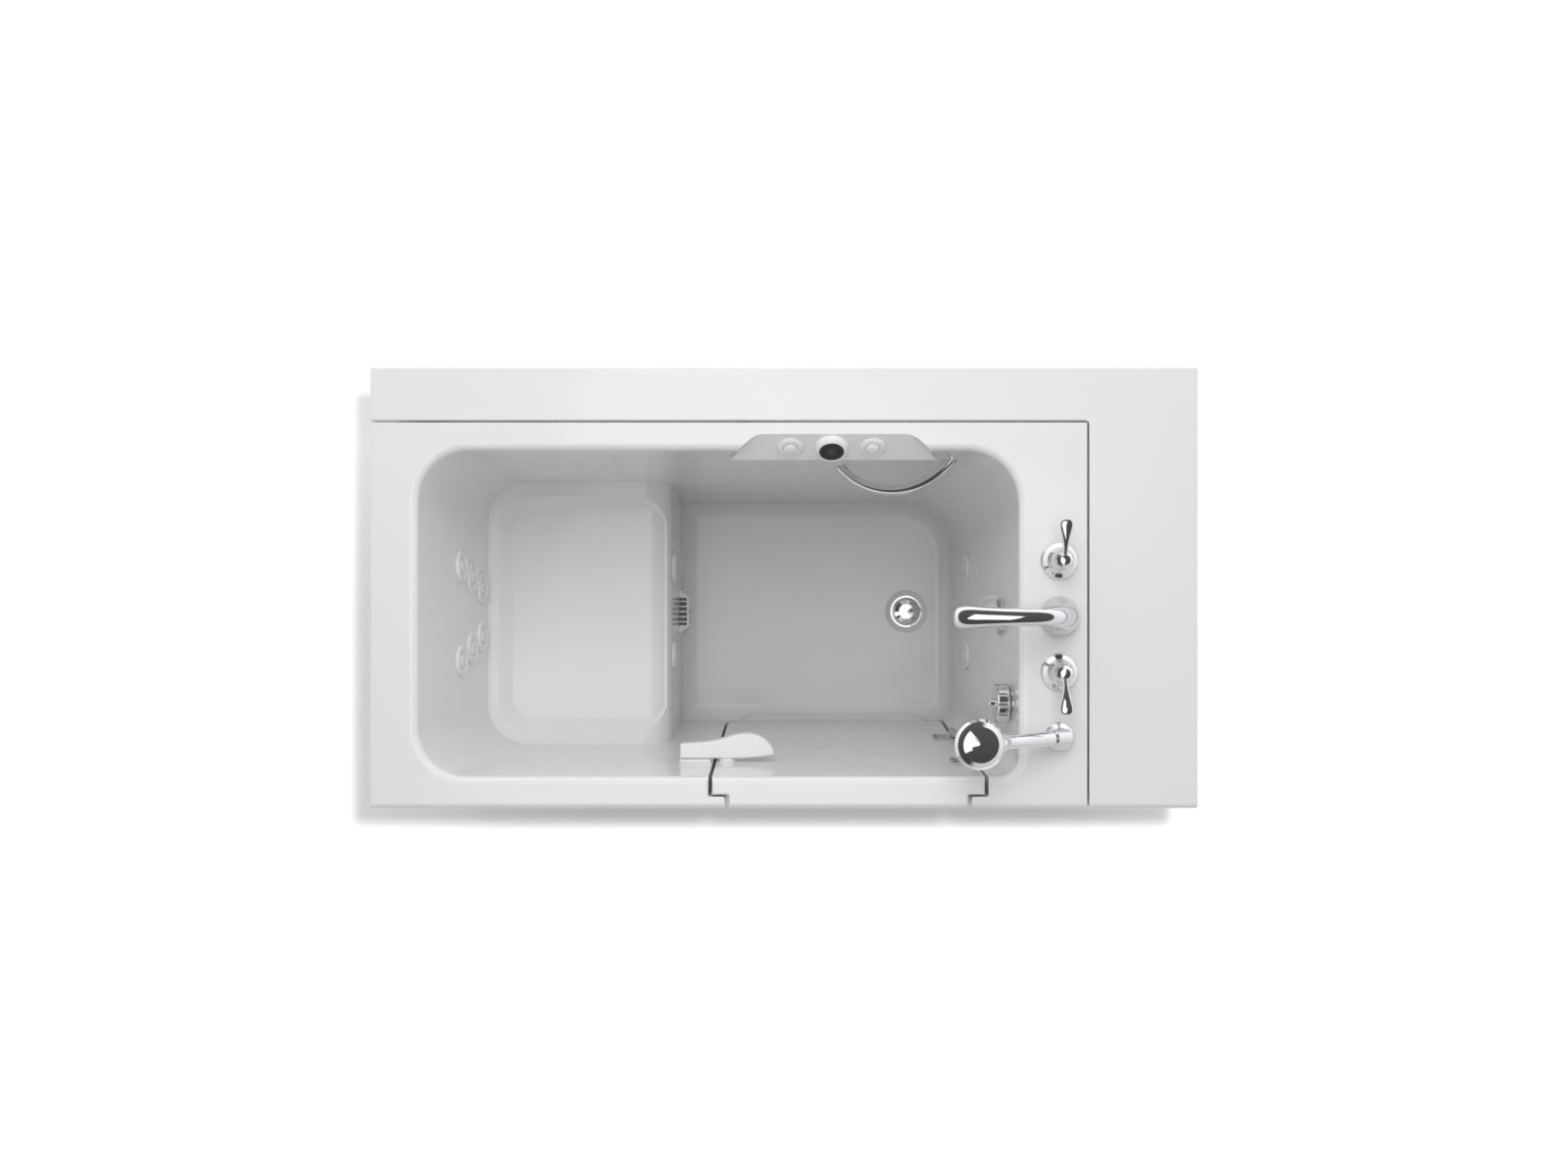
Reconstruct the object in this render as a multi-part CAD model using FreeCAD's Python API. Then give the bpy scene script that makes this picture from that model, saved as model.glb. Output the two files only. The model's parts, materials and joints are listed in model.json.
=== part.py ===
import FreeCAD, Part
import math
import os
from FreeCAD import Vector

# Walk-in bathtub with a door, an extension deck and a jet system.
# Millimetres, +Z up. The origin is on the floor, under the centre of the overall footprint;
# +X runs towards the taps and +Y towards the wall behind the tub.

# ---- tub body and extension deck ----
tub_length = 1320.8
tub_width = 711.2
deck_back = 101.6            # strip of deck behind the tub
deck_side = 203.2            # strip of deck beyond the taps
seam = 3.6                   # open joint between tub rim and deck
rim_height = 965.0
floor_height = 72.0          # inside floor of the foot well
acrylic = 8.0                # wall of the moulded shell
skirt_height = 45.0          # downward lip round the rim
front_edge_radius = 10.0
side_edge_radius = 3.0
rim_edge_radius = 14.0       # rounding from the rim down into the basin
floor_fillet = 38.0

# ---- basin: rim widths, draft of each wall per mm of depth, corner radii (fl, fr, br, bl) ----
rim_left = 85.5
rim_right = 124.8
rim_back = 50.8
rim_front = 58.4
draft_left = 0.100
draft_right = 0.036
draft_back = 0.056
draft_front = 0.0325
rim_corners = (90.0, 38.0, 95.0, 93.0)
floor_corners = (80.0, 60.0, 130.0, 80.0)

# ---- seat ----
seat_length = 517.0          # from the tub's left end to the seat's front
seat_rise = 425.0            # above the inside floor
ledge_rise = 18.0            # ledge round the dish, above the seat
seat_nose = 50.0
dish_from_left = 22.5        # dish edge from the wall, at the ledge
dish_from_back = 33.3
dish_from_front = 25.4
dish_corner = 66.0
dish_slope = 1.5             # run of the dish's side for each mm that it sinks
dish_depth = 35.0

# ---- door ----
door_width = 502.7           # inner flange of the leaf
door_from_right = 188.8      # from the tub's right end to the flange
door_gap = 7.0               # open joint round the leaf
door_rebate = 31.0           # how far the outer part is narrower at each side
door_step = 25.4             # from the outer face to the rebate
door_corner = 80.0
door_floor_gap = 10.0
seal_gap = 3.5               # space between leaf and jamb at the rebate
sill_rise = 28.0             # sill above the inside floor
door_skin = 5.0
door_knuckle_inset = 1.0     # hinge axis beyond the wall's inner face at the floor

x_left = -(tub_length + deck_side) / 2
x_right = x_left + tub_length
y_front = -(tub_width + deck_back) / 2
y_back = y_front + tub_width
x_end = x_right + deck_side
y_wall = y_back + deck_back
basin_y = (y_front + y_back) / 2
basin_depth = rim_height - floor_height
seat_front = x_left + seat_length
seat_height = floor_height + seat_rise
ledge_height = seat_height + ledge_rise
door_right = x_right - door_from_right
door_left = door_right - door_width
parts = {}


def box(x0, x1, y0, y1, z0, z1):
    return Part.makeBox(x1 - x0, y1 - y0, z1 - z0, Vector(x0, y0, z0))


def cylinder(radius, length, start, direction):
    return Part.makeCylinder(radius, length, Vector(*start), Vector(*direction))


def arc_edge(centre, radius, start_deg, end_deg):
    circle = Part.Circle(Vector(*centre), Vector(0, 0, 1), radius)
    return Part.Arc(circle, math.radians(start_deg), math.radians(end_deg)).toShape()


def rounded_wire(x0, x1, y0, y1, radii, z):
    """Rectangle at height z with its own corner radii, from front left round to back left."""
    fl, fr, br, bl = radii
    edges = [
        Part.makeLine((x0 + fl, y0, z), (x1 - fr, y0, z)),
        arc_edge((x1 - fr, y0 + fr, z), fr, 270, 360),
        Part.makeLine((x1, y0 + fr, z), (x1, y1 - br, z)),
        arc_edge((x1 - br, y1 - br, z), br, 0, 90),
        Part.makeLine((x1 - br, y1, z), (x0 + bl, y1, z)),
        arc_edge((x0 + bl, y1 - bl, z), bl, 90, 180),
        Part.makeLine((x0, y1 - bl, z), (x0, y0 + fl, z)),
        arc_edge((x0 + fl, y0 + fl, z), fl, 180, 270),
    ]
    return Part.Wire(edges)


def rounded_polygon(points):
    """Face in the XY plane from (x, y, corner radius) points."""
    edges = []
    count = len(points)
    arcs = []
    for i in range(count):
        px, py, radius = points[i]
        before = Vector(points[i - 1][0] - px, points[i - 1][1] - py, 0)
        after = Vector(points[(i + 1) % count][0] - px, points[(i + 1) % count][1] - py, 0)
        corner = Vector(px, py, 0)
        if radius <= 0:
            arcs.append((corner, None, corner))
            continue
        before.normalize()
        after.normalize()
        half = before.getAngle(after) / 2
        reach = radius / math.tan(half)
        bisector = (before + after).normalize()
        middle = corner + bisector * (radius / math.sin(half) - radius)
        arcs.append((corner + before * reach, middle, corner + after * reach))
    for i in range(count):
        start, middle, end = arcs[i]
        if middle is not None:
            edges.append(Part.Arc(start, middle, end).toShape())
        following = arcs[(i + 1) % count][0]
        if end.distanceToPoint(following) > 1e-6:
            edges.append(Part.makeLine(end, following))
    return Part.Face(Part.Wire(edges))


def prism_z(points, z0, z1):
    face = rounded_polygon(points)
    face.translate(Vector(0, 0, z0))
    return face.extrude(Vector(0, 0, z1 - z0))


def prism_y(points, y0, y1):
    """Outline given as (x, z, radius), extruded from y0 to y1."""
    face = rounded_polygon(points)
    face.rotate(Vector(0, 0, 0), Vector(1, 0, 0), 90)
    face.translate(Vector(0, y0, 0))
    return face.extrude(Vector(0, y1 - y0, 0))


def prism_x(points, x0, x1):
    """Outline given as (y, z, radius), extruded from x0 to x1."""
    face = rounded_polygon(points)
    face.rotate(Vector(0, 0, 0), Vector(1, 1, 1), 120)
    face.translate(Vector(x0, 0, 0))
    return face.extrude(Vector(x1 - x0, 0, 0))


def revolve(profile, origin=(0, 0, 0), axis=(0, 0, 1)):
    """Turn a closed (radius, height) outline about +Z, then stand it at origin along axis."""
    points = [Vector(r, 0, h) for r, h in profile]
    face = Part.Face(Part.makePolygon(points + [points[0]]))
    solid = face.revolve(Vector(0, 0, 0), Vector(0, 0, 1), 360)
    return place(solid, origin, axis)


def place(shape, origin, axis):
    shape = shape.copy()
    turn = FreeCAD.Rotation(Vector(0, 0, 1), Vector(*axis))
    shape.Placement = FreeCAD.Placement(Vector(*origin), turn).multiply(shape.Placement)
    return shape


def turned(shape, axis, angle, centre=(0, 0, 0)):
    shape = shape.copy()
    shape.rotate(Vector(*centre), Vector(*axis), angle)
    return shape


def moved(shape, x=0.0, y=0.0, z=0.0):
    shape = shape.copy()
    shape.translate(Vector(x, y, z))
    return shape


def fuse_all(shapes):
    result = shapes[0]
    if len(shapes) > 1:
        result = result.fuse(shapes[1:])
    return result.removeSplitter()


def fillet_where(shape, radius, chosen):
    return shape.makeFillet(radius, [edge for edge in shape.Edges if chosen(edge)])


def keep(name, *shapes):
    """Store a node: one solid, or a group of separate solids."""
    solids = [solid for shape in shapes for solid in shape.Solids]
    parts[name] = solids[0] if len(solids) == 1 else Part.makeCompound(solids)


# ---- basin and shell ----
def wall_x_left(depth):
    return x_left + rim_left + draft_left * depth


def wall_x_right(depth):
    return x_right - rim_right - draft_right * depth


def wall_y_back(depth):
    return y_back - rim_back - draft_back * depth


def wall_y_front(depth):
    return y_front + rim_front + draft_front * depth


def basin_outline(depth, grow, z):
    share = depth / basin_depth
    radii = [a + (b - a) * share + grow for a, b in zip(rim_corners, floor_corners)]
    return rounded_wire(wall_x_left(depth) - grow, wall_x_right(depth) + grow,
                        wall_y_front(depth) - grow, wall_y_back(depth) + grow, radii, z)


def seat_step(top, front, nose):
    """Solid below the seat, with a rounded front edge."""
    far = x_left - 40
    outline = [(far, 0, 0), (front, 0, 0), (front, top, nose), (far, top, 0)]
    return prism_y(outline, y_front - 40, y_back + 40)


def seat_dish(z):
    """Outline of the dish at height z; it is open towards the seat's front."""
    inset = (ledge_height - z) * dish_slope
    corner = dish_corner - inset * 0.6
    ledge_depth = rim_height - ledge_height
    return rounded_wire(wall_x_left(ledge_depth) + dish_from_left + inset, seat_front + 145,
                        wall_y_front(ledge_depth) + dish_from_front + inset,
                        wall_y_back(ledge_depth) - dish_from_back - inset, (corner, 5.0, 5.0, corner), z)


def basin(grow, with_ledge):
    """The hollow of the tub, or that hollow grown by the wall to give the shell's outside."""
    over = 20.0
    hull = Part.makeLoft([basin_outline(-over, grow, rim_height + over),
                          basin_outline(basin_depth + grow, grow, floor_height - grow)], True, True)
    seat = seat_step(seat_height - grow, seat_front - grow, seat_nose - grow)
    if with_ledge:
        ledge = seat_step(ledge_height, seat_front - 0.6, seat_nose + 15)
        ledge = ledge.cut(box(x_left - 40, 0, y_front - 40, y_back + 40, -1, seat_height - 67))
        ledge = ledge.cut(Part.makeLoft([seat_dish(ledge_height - dish_depth), seat_dish(ledge_height + 1)],
                                        True, True))
        seat = seat.fuse(ledge)
    hollow = hull.cut(seat)
    bottom = floor_height - grow
    return fillet_where(hollow, floor_fillet + grow, lambda e: abs(e.CenterOfMass.z - bottom) < 0.01)


def tub_block(z0, inset=0.0):
    """Outer block of the tub under its rounded top edges."""
    block = box(x_left + inset, x_right - inset, y_front + inset, y_back - inset, z0, rim_height - inset)
    if inset > 0:
        return block
    block = fillet_where(block, front_edge_radius, lambda e: e.CenterOfMass.z > rim_height - 0.01
                         and abs(e.CenterOfMass.y - y_front) < 0.01)
    return fillet_where(block, side_edge_radius, lambda e: e.BoundBox.ZMin > rim_height - 0.01
                        and (abs(e.CenterOfMass.x - x_left) < 0.01 or abs(e.CenterOfMass.x - x_right) < 0.01
                             or abs(e.CenterOfMass.y - y_back) < 0.01))


def make_mould():
    """Everything of the tub block outside the hollow, with the rim's inner edge rounded over."""
    mould = tub_block(0.0).cut(basin(0.0, True))

    def inner_edge(e):
        b = e.BoundBox
        inside = (b.XMin > x_left + 30 and b.XMax < x_right - 30
                  and b.YMin > y_front + 30 and b.YMax < y_back - 30)
        return b.ZMin > rim_height - 0.01 and inside

    return fillet_where(mould, rim_edge_radius, inner_edge)


# ---- door opening ----
jamb_left = door_left - door_gap
jamb_right = door_right + door_gap
y_rebate = y_front + door_step - seal_gap
y_jamb = wall_y_front(basin_depth) + floor_fillet + acrylic
sill_top = floor_height + sill_rise


def door_outline(left, right, bottom, corner, top):
    return [(left, bottom, corner), (right, bottom, corner), (right, top, 0), (left, top, 0)]


def opening_cutter():
    top = rim_height + 10
    inner = prism_y(door_outline(jamb_left, jamb_right, floor_height, door_corner + door_gap, top),
                    y_rebate, y_jamb + 20)
    inner_left = jamb_left + door_rebate
    inner_right = jamb_right - door_rebate
    outer = prism_y(door_outline(inner_left, inner_right, sill_top, door_corner - door_rebate + door_gap, top),
                    y_front - 10, y_rebate)
    return inner.fuse(outer)


def make_jamb():
    """Solid frame round the door opening, with a rebate that the leaf closes against."""
    block = box(jamb_left - acrylic, jamb_right + acrylic, y_front, y_jamb, floor_height - acrylic, rim_height)
    jamb = block.cut(opening_cutter())

    def lips(e):
        """Edges of the opening on the outer face and at the step, without the rim and the block's own edges."""
        b = e.BoundBox
        on_face = b.YMax - b.YMin < 0.01 and min(abs(b.YMin - y_front), abs(b.YMin - y_rebate)) < 0.01
        within = b.XMin > jamb_left + door_rebate - 1 and b.XMax < jamb_right - door_rebate + 1
        return on_face and within and floor_height - 1 < b.ZMax and b.ZMin < rim_height - 1

    return fillet_where(jamb, 5.0, lips)


gap_round = 4.0              # rounding of the rim's edges along the open joint round the door


def round_side(x, into, y0, y1):
    """Rounds a rim edge along Y; the wall lies on the side of x that into (1 or -1) gives."""
    far = x + into * gap_round
    corner = box(min(x - into, far), max(x - into, far), y0, y1, rim_height - gap_round, rim_height + 1)
    return corner.cut(cylinder(gap_round, y1 - y0, (far, y0, rim_height - gap_round), (0, 1, 0)))


def round_step(y, into, x0, x1):
    """Rounds a rim edge along X in the same way."""
    far = y + into * gap_round
    corner = box(x0, x1, min(y - into, far), max(y - into, far), rim_height - gap_round, rim_height + 1)
    return corner.cut(cylinder(gap_round, x1 - x0, (x0, far, rim_height - gap_round), (1, 0, 0)))


def joint_rounders(left, right, y_step, into):
    """Cutters for one side of the open joint: the door leaf with into 1, the frame with into -1."""
    inner_left = left + door_rebate
    inner_right = right - door_rebate
    y_end = wall_y_front(0) + 1
    return [round_side(left, into, y_step, y_end), round_side(right, -into, y_step, y_end),
            round_side(inner_left, into, y_front - 1, y_step), round_side(inner_right, -into, y_front - 1, y_step),
            round_step(y_step, into, left, inner_left), round_step(y_step, into, inner_right, right)]


# ---- control console on the back rim ----
console_length = 430.0
console_from_right = 250.8
console_right = x_right - console_from_right
console_left = console_right - console_length
console_top_y = y_back - 21.3
console_low_y = y_back - 64.8
console_drop = 55.0
console_height = 115.0
console_run = 70.0           # length of the slanting ends
console_face = math.hypot(console_top_y - console_low_y, console_drop)
console_normal = (0.0, -console_drop / console_face, (console_top_y - console_low_y) / console_face)
console_mid = (console_top_y + console_low_y) / 2, rim_height - console_drop / 2


def console_plan(z0, z1, grow=0.0):
    left = console_left - grow
    right = console_right + grow
    top = console_top_y + grow
    low = console_low_y - 4
    return prism_z([(left, low, 0), (right, low, 0), (right - 22, low + 5, 20), (right - console_run, top, 45),
                    (left + console_run, top, 45), (left + 22, low + 5, 20)], z0, z1)


def console_solids(mould):
    """The console's wall, and the space in front of its slanting face."""
    low_z = rim_height - console_drop
    foot_z = rim_height - console_height
    foot_y = wall_y_back(console_height)
    x0 = console_left - 20
    x1 = console_right + 20
    high = rim_height + 10
    top_inside = (console_top_y - acrylic * console_normal[1], rim_height - acrylic * console_normal[2], 0)
    edge_inside = (console_low_y + acrylic, low_z - 2, 0)
    front = prism_x([(console_top_y, rim_height, 0), (console_low_y, low_z, 0), (console_low_y - 20, low_z, 0),
                     (console_low_y - 20, high, 0), (console_top_y, high, 0)], x0, x1)
    face = prism_x([(console_top_y, rim_height, 0), (console_low_y, low_z, 6), (foot_y, foot_z, 0),
                    (foot_y + acrylic, foot_z, 0), edge_inside, top_inside], x0, x1)
    recess = prism_x([top_inside, edge_inside, (console_low_y - 20, low_z - 2, 0), (console_low_y - 20, high, 0),
                      (console_top_y + acrylic, high, 0), (console_top_y + acrylic, top_inside[1], 0)], x0, x1)
    plan = console_plan(foot_z - 5, high)
    casing = recess.common(console_plan(foot_z - 5, high, acrylic)).common(mould)
    return face.common(plan), casing, front.common(plan)


# ---- places of the fittings ----
jet_radius = 34.0
jet_hole = 22.0
jet_stand = 6.0              # how far a jet's ring stands out
back_jets = [(262.0, 95.0), (332.0, 73.0), (401.0, 51.0)]    # depth, distance from the centre line
leg_jet_drop = 92.0          # below the seat
leg_jet_spread = 97.0
foot_jet_rise = 270.0        # above the inside floor
foot_jet_spread = 100.0
leg_jet_z = seat_height - leg_jet_drop
foot_jet_z = floor_height + foot_jet_rise
drain_x = wall_x_right(basin_depth) - 104.9
drain_y = basin_y - 6.2
drain_hole = 27.0
sump_radius = 52.0
sump_depth = 9.0
overflow_depth = 179.0
overflow_hole = 20.0
drain_knob_depth = 100.0
drain_knob_y = basin_y - 168.7
suction_z = floor_height + 91.0
suction_y = basin_y - 4.2
suction_hole = 26.0
tap_x = x_right - 51.8
tap_spacing = 102.5          # from the spout to each handle
shower_spacing = 221.0
spout_y = basin_y - 1.2
hot_y = spout_y - tap_spacing
cold_y = spout_y + tap_spacing
shower_y = spout_y - shower_spacing
shank_hole = 17.0
bar_ends = ((console_right - 198.0, 224.0), (console_right + 15.0, 126.0))     # x and depth
bar_radius = 9.5
bar_stand = 54.0
stud_radius = 5.0
hole_clearance = 0.4
button_spacing = 76.5        # from the display to each button
display_x = (console_left + console_right) / 2 - 4.7
button_xs = (display_x - button_spacing, display_x + button_spacing)


def unit(x, y, z):
    size = math.sqrt(x * x + y * y + z * z)
    return (x / size, y / size, z / size)


left_normal = unit(1.0, 0.0, draft_left)
right_normal = unit(-1.0, 0.0, draft_right)
back_normal = unit(0.0, -1.0, draft_back)
front_normal = unit(0.0, 1.0, draft_front)


def jet_places():
    """Name, centre on the wall's surface and direction of each of the ten jets."""
    places = []
    for level, (depth, reach) in zip(("upper", "middle", "lower"), back_jets):
        for side, sign in (("right", 1), ("left", -1)):
            centre = (wall_x_left(depth), basin_y + sign * reach, rim_height - depth)
            places.append((f"back_jet_{level}_{side}", centre, left_normal))
    for side, sign in (("right", 1), ("left", -1)):
        centre = (seat_front, basin_y + sign * leg_jet_spread, leg_jet_z)
        places.append((f"leg_jet_{side}", centre, (1.0, 0.0, 0.0)))
    for side, sign in (("right", 1), ("left", -1)):
        centre = (wall_x_right(rim_height - foot_jet_z), basin_y + sign * foot_jet_spread, foot_jet_z)
        places.append((f"foot_jet_{side}", centre, right_normal))
    return places


def point_along(start, direction, distance):
    return tuple(s + d * distance for s, d in zip(start, direction))


def through_hole(radius, centre, direction, reach=40.0):
    return cylinder(radius, 2 * reach, point_along(centre, direction, -reach), direction)


def bar_end_points():
    return [(x, wall_y_back(depth), rim_height - depth) for x, depth in bar_ends]


def shell_holes():
    holes = [through_hole(jet_hole, centre, normal, 25) for _, centre, normal in jet_places()]
    holes.append(through_hole(drain_hole, (drain_x, drain_y, floor_height), (0, 0, 1), 30))
    holes.append(through_hole(overflow_hole, (wall_x_right(overflow_depth), drain_y,
                                              rim_height - overflow_depth), right_normal))
    holes.append(through_hole(overflow_hole, (wall_x_right(drain_knob_depth), drain_knob_y,
                                              rim_height - drain_knob_depth), right_normal, 25))
    holes.append(through_hole(suction_hole, (seat_front, suction_y, suction_z), (1, 0, 0)))
    holes += [through_hole(shank_hole, (tap_x, y, rim_height), (0, 0, 1), 20)
              for y in (hot_y, cold_y, spout_y, shower_y)]
    holes += [through_hole(stud_radius + hole_clearance, point, back_normal, 25) for point in bar_end_points()]
    y, z = console_mid
    holes += [through_hole(9.0, (x, y, z), console_normal, 45) for x in button_xs]
    holes.append(through_hole(14.0, (display_x, y, z), console_normal, 45))
    return holes


def make_shell(mould):
    """Skin of the basin, rim with its skirt, door jamb and console, joined as one moulding."""
    doorway = box(jamb_left - acrylic + 1, jamb_right + acrylic - 1, y_front - 5, y_jamb - 0.5,
                  floor_height - acrylic + 1, rim_height + 30)
    sump_wall = cylinder(sump_radius + acrylic, sump_depth + acrylic + 2,
                         (drain_x, drain_y, floor_height - sump_depth - acrylic), (0, 0, 1))
    skin = basin(acrylic, False).fuse(sump_wall).cut(doorway).common(mould)
    rim = tub_block(rim_height - skirt_height)
    rim = rim.cut(box(x_left + acrylic, x_right - acrylic, y_front + acrylic, y_back - acrylic,
                      rim_height - skirt_height - 1, rim_height - acrylic))
    rim = rim.cut(doorway).common(mould)
    console, casing, space = console_solids(mould)
    jamb = make_jamb().common(mould).cut(joint_rounders(jamb_left, jamb_right, y_rebate, -1))
    shell = fuse_all([skin.cut(space), rim.cut(space), jamb]).fuse(fuse_all([console, casing.cut(space)]))
    sump = Part.makeCone(sump_radius - 12, sump_radius, sump_depth,
                         Vector(drain_x, drain_y, floor_height - sump_depth), Vector(0, 0, 1))
    return shell.cut([sump] + shell_holes())


# ---- door ----
def make_door(mould):
    """Leaf: an inner flange and a narrower outer part, hollowed from the outside."""
    top = rim_height + 10
    y_flange = y_rebate + seal_gap
    flange = prism_y(door_outline(door_left, door_right, floor_height + door_floor_gap, door_corner, top),
                     y_flange, wall_y_front(0) + 60)
    narrow = (door_left + door_rebate, door_right - door_rebate, sill_top + door_gap)
    corner = door_corner - door_rebate
    outer = prism_y(door_outline(*narrow, corner, top), y_front, y_flange + 1)
    outer = fillet_where(outer, 5.0, lambda e: abs(e.BoundBox.YMax - y_front) < 0.01
                         and e.BoundBox.ZMin < rim_height - 100)
    leaf = flange.fuse(outer).common(mould)
    pocket = prism_y(door_outline(narrow[0] + 12, narrow[1] - 12, narrow[2] + 12, corner - 8, rim_height - 14),
                     y_front - 1, wall_y_front(0) - door_skin * 2)
    ribs = [box(narrow[0], narrow[1], y_front + 8, y_front + 40, z - 3, z + 3)
            for z in (floor_height + 250, floor_height + 450, floor_height + 650)]
    pocket = pocket.cut(ribs)
    rebate = prism_y(door_outline(narrow[0] + 8, narrow[1] - 8, narrow[2] + 8, corner - 6, rim_height - 10),
                     y_front - 1, y_front + 4)
    rounders = joint_rounders(door_left, door_right, y_flange, 1)
    leaf = leaf.cut([pocket, rebate] + rounders).removeSplitter()
    panel = prism_y(door_outline(narrow[0] + 8.3, narrow[1] - 8.3, narrow[2] + 8.3, corner - 6.3,
                                 rim_height - 10.3), y_front, y_front + 4)
    return leaf, panel


def make_door_seal():
    """U-shaped gasket on the flange, just clear of the jamb's rebate."""
    y_seal = y_rebate + 0.3
    outer = door_outline(door_left + 5, door_right - 5, floor_height + door_floor_gap + 5, door_corner - 5,
                         rim_height - 20)
    inner = door_outline(door_left + 19, door_right - 19, floor_height + door_floor_gap + 19,
                         door_corner - 19, rim_height + 1)
    seal = prism_y(outer, y_seal, y_rebate + seal_gap).cut(prism_y(inner, y_seal - 1, y_rebate + seal_gap + 1))
    return fillet_where(seal, 1.2, lambda e: abs(e.BoundBox.YMax - y_seal) < 0.01
                        and e.BoundBox.ZMax < rim_height - 15)


# ---- steel frame, feet and panels ----
tube = 25.0
tube_wall = 2.0
rail_z = floor_height - acrylic - tube
panel_thick = 4.0
panel_gap = 0.4
panel_bottom = 12.0
panel_top = rim_height - acrylic - 12.0
frame_front = y_front + acrylic + panel_gap + panel_thick
frame_back = y_back - acrylic - 1.8
frame_left = x_left + acrylic + panel_gap + panel_thick
frame_right = x_right - acrylic - 1.0
back_rail_z = rim_height - 165.0
right_rail_z = rim_height - 245.0
foot_radius = 25.0
foot_stem = 6.0
seat_frame_xs = (seat_front - 340.0, seat_front - 112.0)
seat_frame_ys = (y_front + 116.4, y_back - 124.8)


def square_tube(start, length, axis):
    """Hollow square tube from its lowest corner along X, Y or Z."""
    sizes = [tube, tube, tube]
    sizes["XYZ".index(axis)] = length
    outer = Part.makeBox(*sizes, Vector(*start))
    hollow = [size - 2 * tube_wall for size in sizes]
    hollow["XYZ".index(axis)] = length + 2
    corner = [value + tube_wall for value in start]
    corner["XYZ".index(axis)] = start["XYZ".index(axis)] - 1
    return outer.cut(Part.makeBox(*hollow, Vector(*corner)))


def make_support_frame():
    y0 = frame_front
    y1 = frame_back - tube
    x0 = frame_left
    x1 = frame_right - tube
    top = rim_height - acrylic
    base = rail_z + tube
    tubes = [square_tube((x0, y, rail_z), frame_right - x0, "X") for y in (y0, y1)]
    inner_y = y0 + tube
    cross = y1 - inner_y
    cross_xs = (x0, seat_frame_xs[0], seat_frame_xs[1], 90.0, x1)
    tubes += [square_tube((x, inner_y, rail_z), cross, "Y") for x in cross_xs]
    posts = [(x0, y0), (x0, y1), (x1, y0), (x1, y1), (jamb_left - acrylic - tube - 1, y0),
             (jamb_right + acrylic + 1, y0)]
    tubes += [square_tube((x, y, base), top - base, "Z") for x, y in posts]
    tubes.append(square_tube((x0, inner_y, top - tube), cross, "Y"))
    tubes.append(square_tube((x0 + tube, y1, back_rail_z), x1 - x0 - tube, "X"))
    tubes.append(square_tube((x1, inner_y, right_rail_z), cross, "Y"))
    seat_top = seat_height - acrylic
    for x in seat_frame_xs:
        tubes += [square_tube((x, y, base), seat_top - tube - base, "Z") for y in seat_frame_ys]
        tubes.append(square_tube((x, seat_frame_ys[0] - 20, seat_top - tube), seat_frame_ys[1] - seat_frame_ys[0]
                                 + tube + 40, "Y"))
    return tubes


def levelling_foot(x, y):
    pad = revolve([(0, 0), (foot_radius, 0), (foot_radius, 5), (12, 9), (foot_stem, 9), (foot_stem, rail_z),
                   (0, rail_z)], (x, y, 0))
    nut = prism_z([(x + 10.5 * math.cos(math.radians(60 * i)), y + 10.5 * math.sin(math.radians(60 * i)), 0)
                   for i in range(6)], rail_z - 9, rail_z - 1)
    return pad.fuse(nut).removeSplitter()


def foot_places():
    ys = (frame_front + tube / 2, frame_back - tube / 2)
    xs = (frame_left + 45, (seat_frame_xs[1] + 90.0) / 2, frame_right - 45)
    return [(x, y) for x in xs for y in ys]


def make_front_apron():
    y0 = frame_front - panel_thick
    panel = box(x_left + acrylic + panel_gap, x_right + seam / 2 - panel_gap, y0, frame_front,
                panel_bottom, panel_top)
    doorway = box(jamb_left - acrylic - panel_gap, jamb_right + acrylic + panel_gap, y0 - 1, frame_front + 1,
                  floor_height - acrylic - panel_gap, rim_height)
    skirt = box(x_right - acrylic - panel_gap, x_right + seam, y0 - 1, frame_front + 1,
                rim_height - skirt_height - panel_gap, rim_height)
    return panel.cut([doorway, skirt])


def make_end_panel():
    return box(frame_left - panel_thick, frame_left, frame_front + panel_gap, frame_back, panel_bottom, panel_top)


# ---- extension deck ----
deck_post = 25.0
deck_inner_x = x_right + seam
deck_inner_y = y_back + seam


def deck_plan(inset, z0, z1):
    inner = 8.0 + inset
    return prism_z([(x_left + inset, deck_inner_y + inset, 0), (deck_inner_x + inset, deck_inner_y + inset, inner),
                    (deck_inner_x + inset, y_front + inset, 0), (x_end - inset, y_front + inset, 0),
                    (x_end - inset, y_wall - inset, 0), (x_left + inset, y_wall - inset, 0)], z0, z1)


def make_deck():
    deck = deck_plan(0.0, rim_height - skirt_height, rim_height)
    deck = fillet_where(deck, front_edge_radius, lambda e: e.BoundBox.ZMin > rim_height - 0.01
                        and e.BoundBox.YMax < y_front + 0.01)
    deck = fillet_where(deck, side_edge_radius, lambda e: e.BoundBox.ZMin > rim_height - 0.01
                        and (e.BoundBox.XMin > x_end - 0.01 or e.BoundBox.YMin > y_wall - 0.01
                             or e.BoundBox.XMax < x_left + 0.01 or abs(e.BoundBox.YMax - deck_inner_y) < 0.01
                             or abs(e.BoundBox.XMin - deck_inner_x) < 0.01))
    return deck.cut(deck_plan(acrylic, rim_height - skirt_height - 1, rim_height - acrylic))


stand_clear = acrylic + 2 * panel_gap + panel_thick
stand_foot = 4.0


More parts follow.
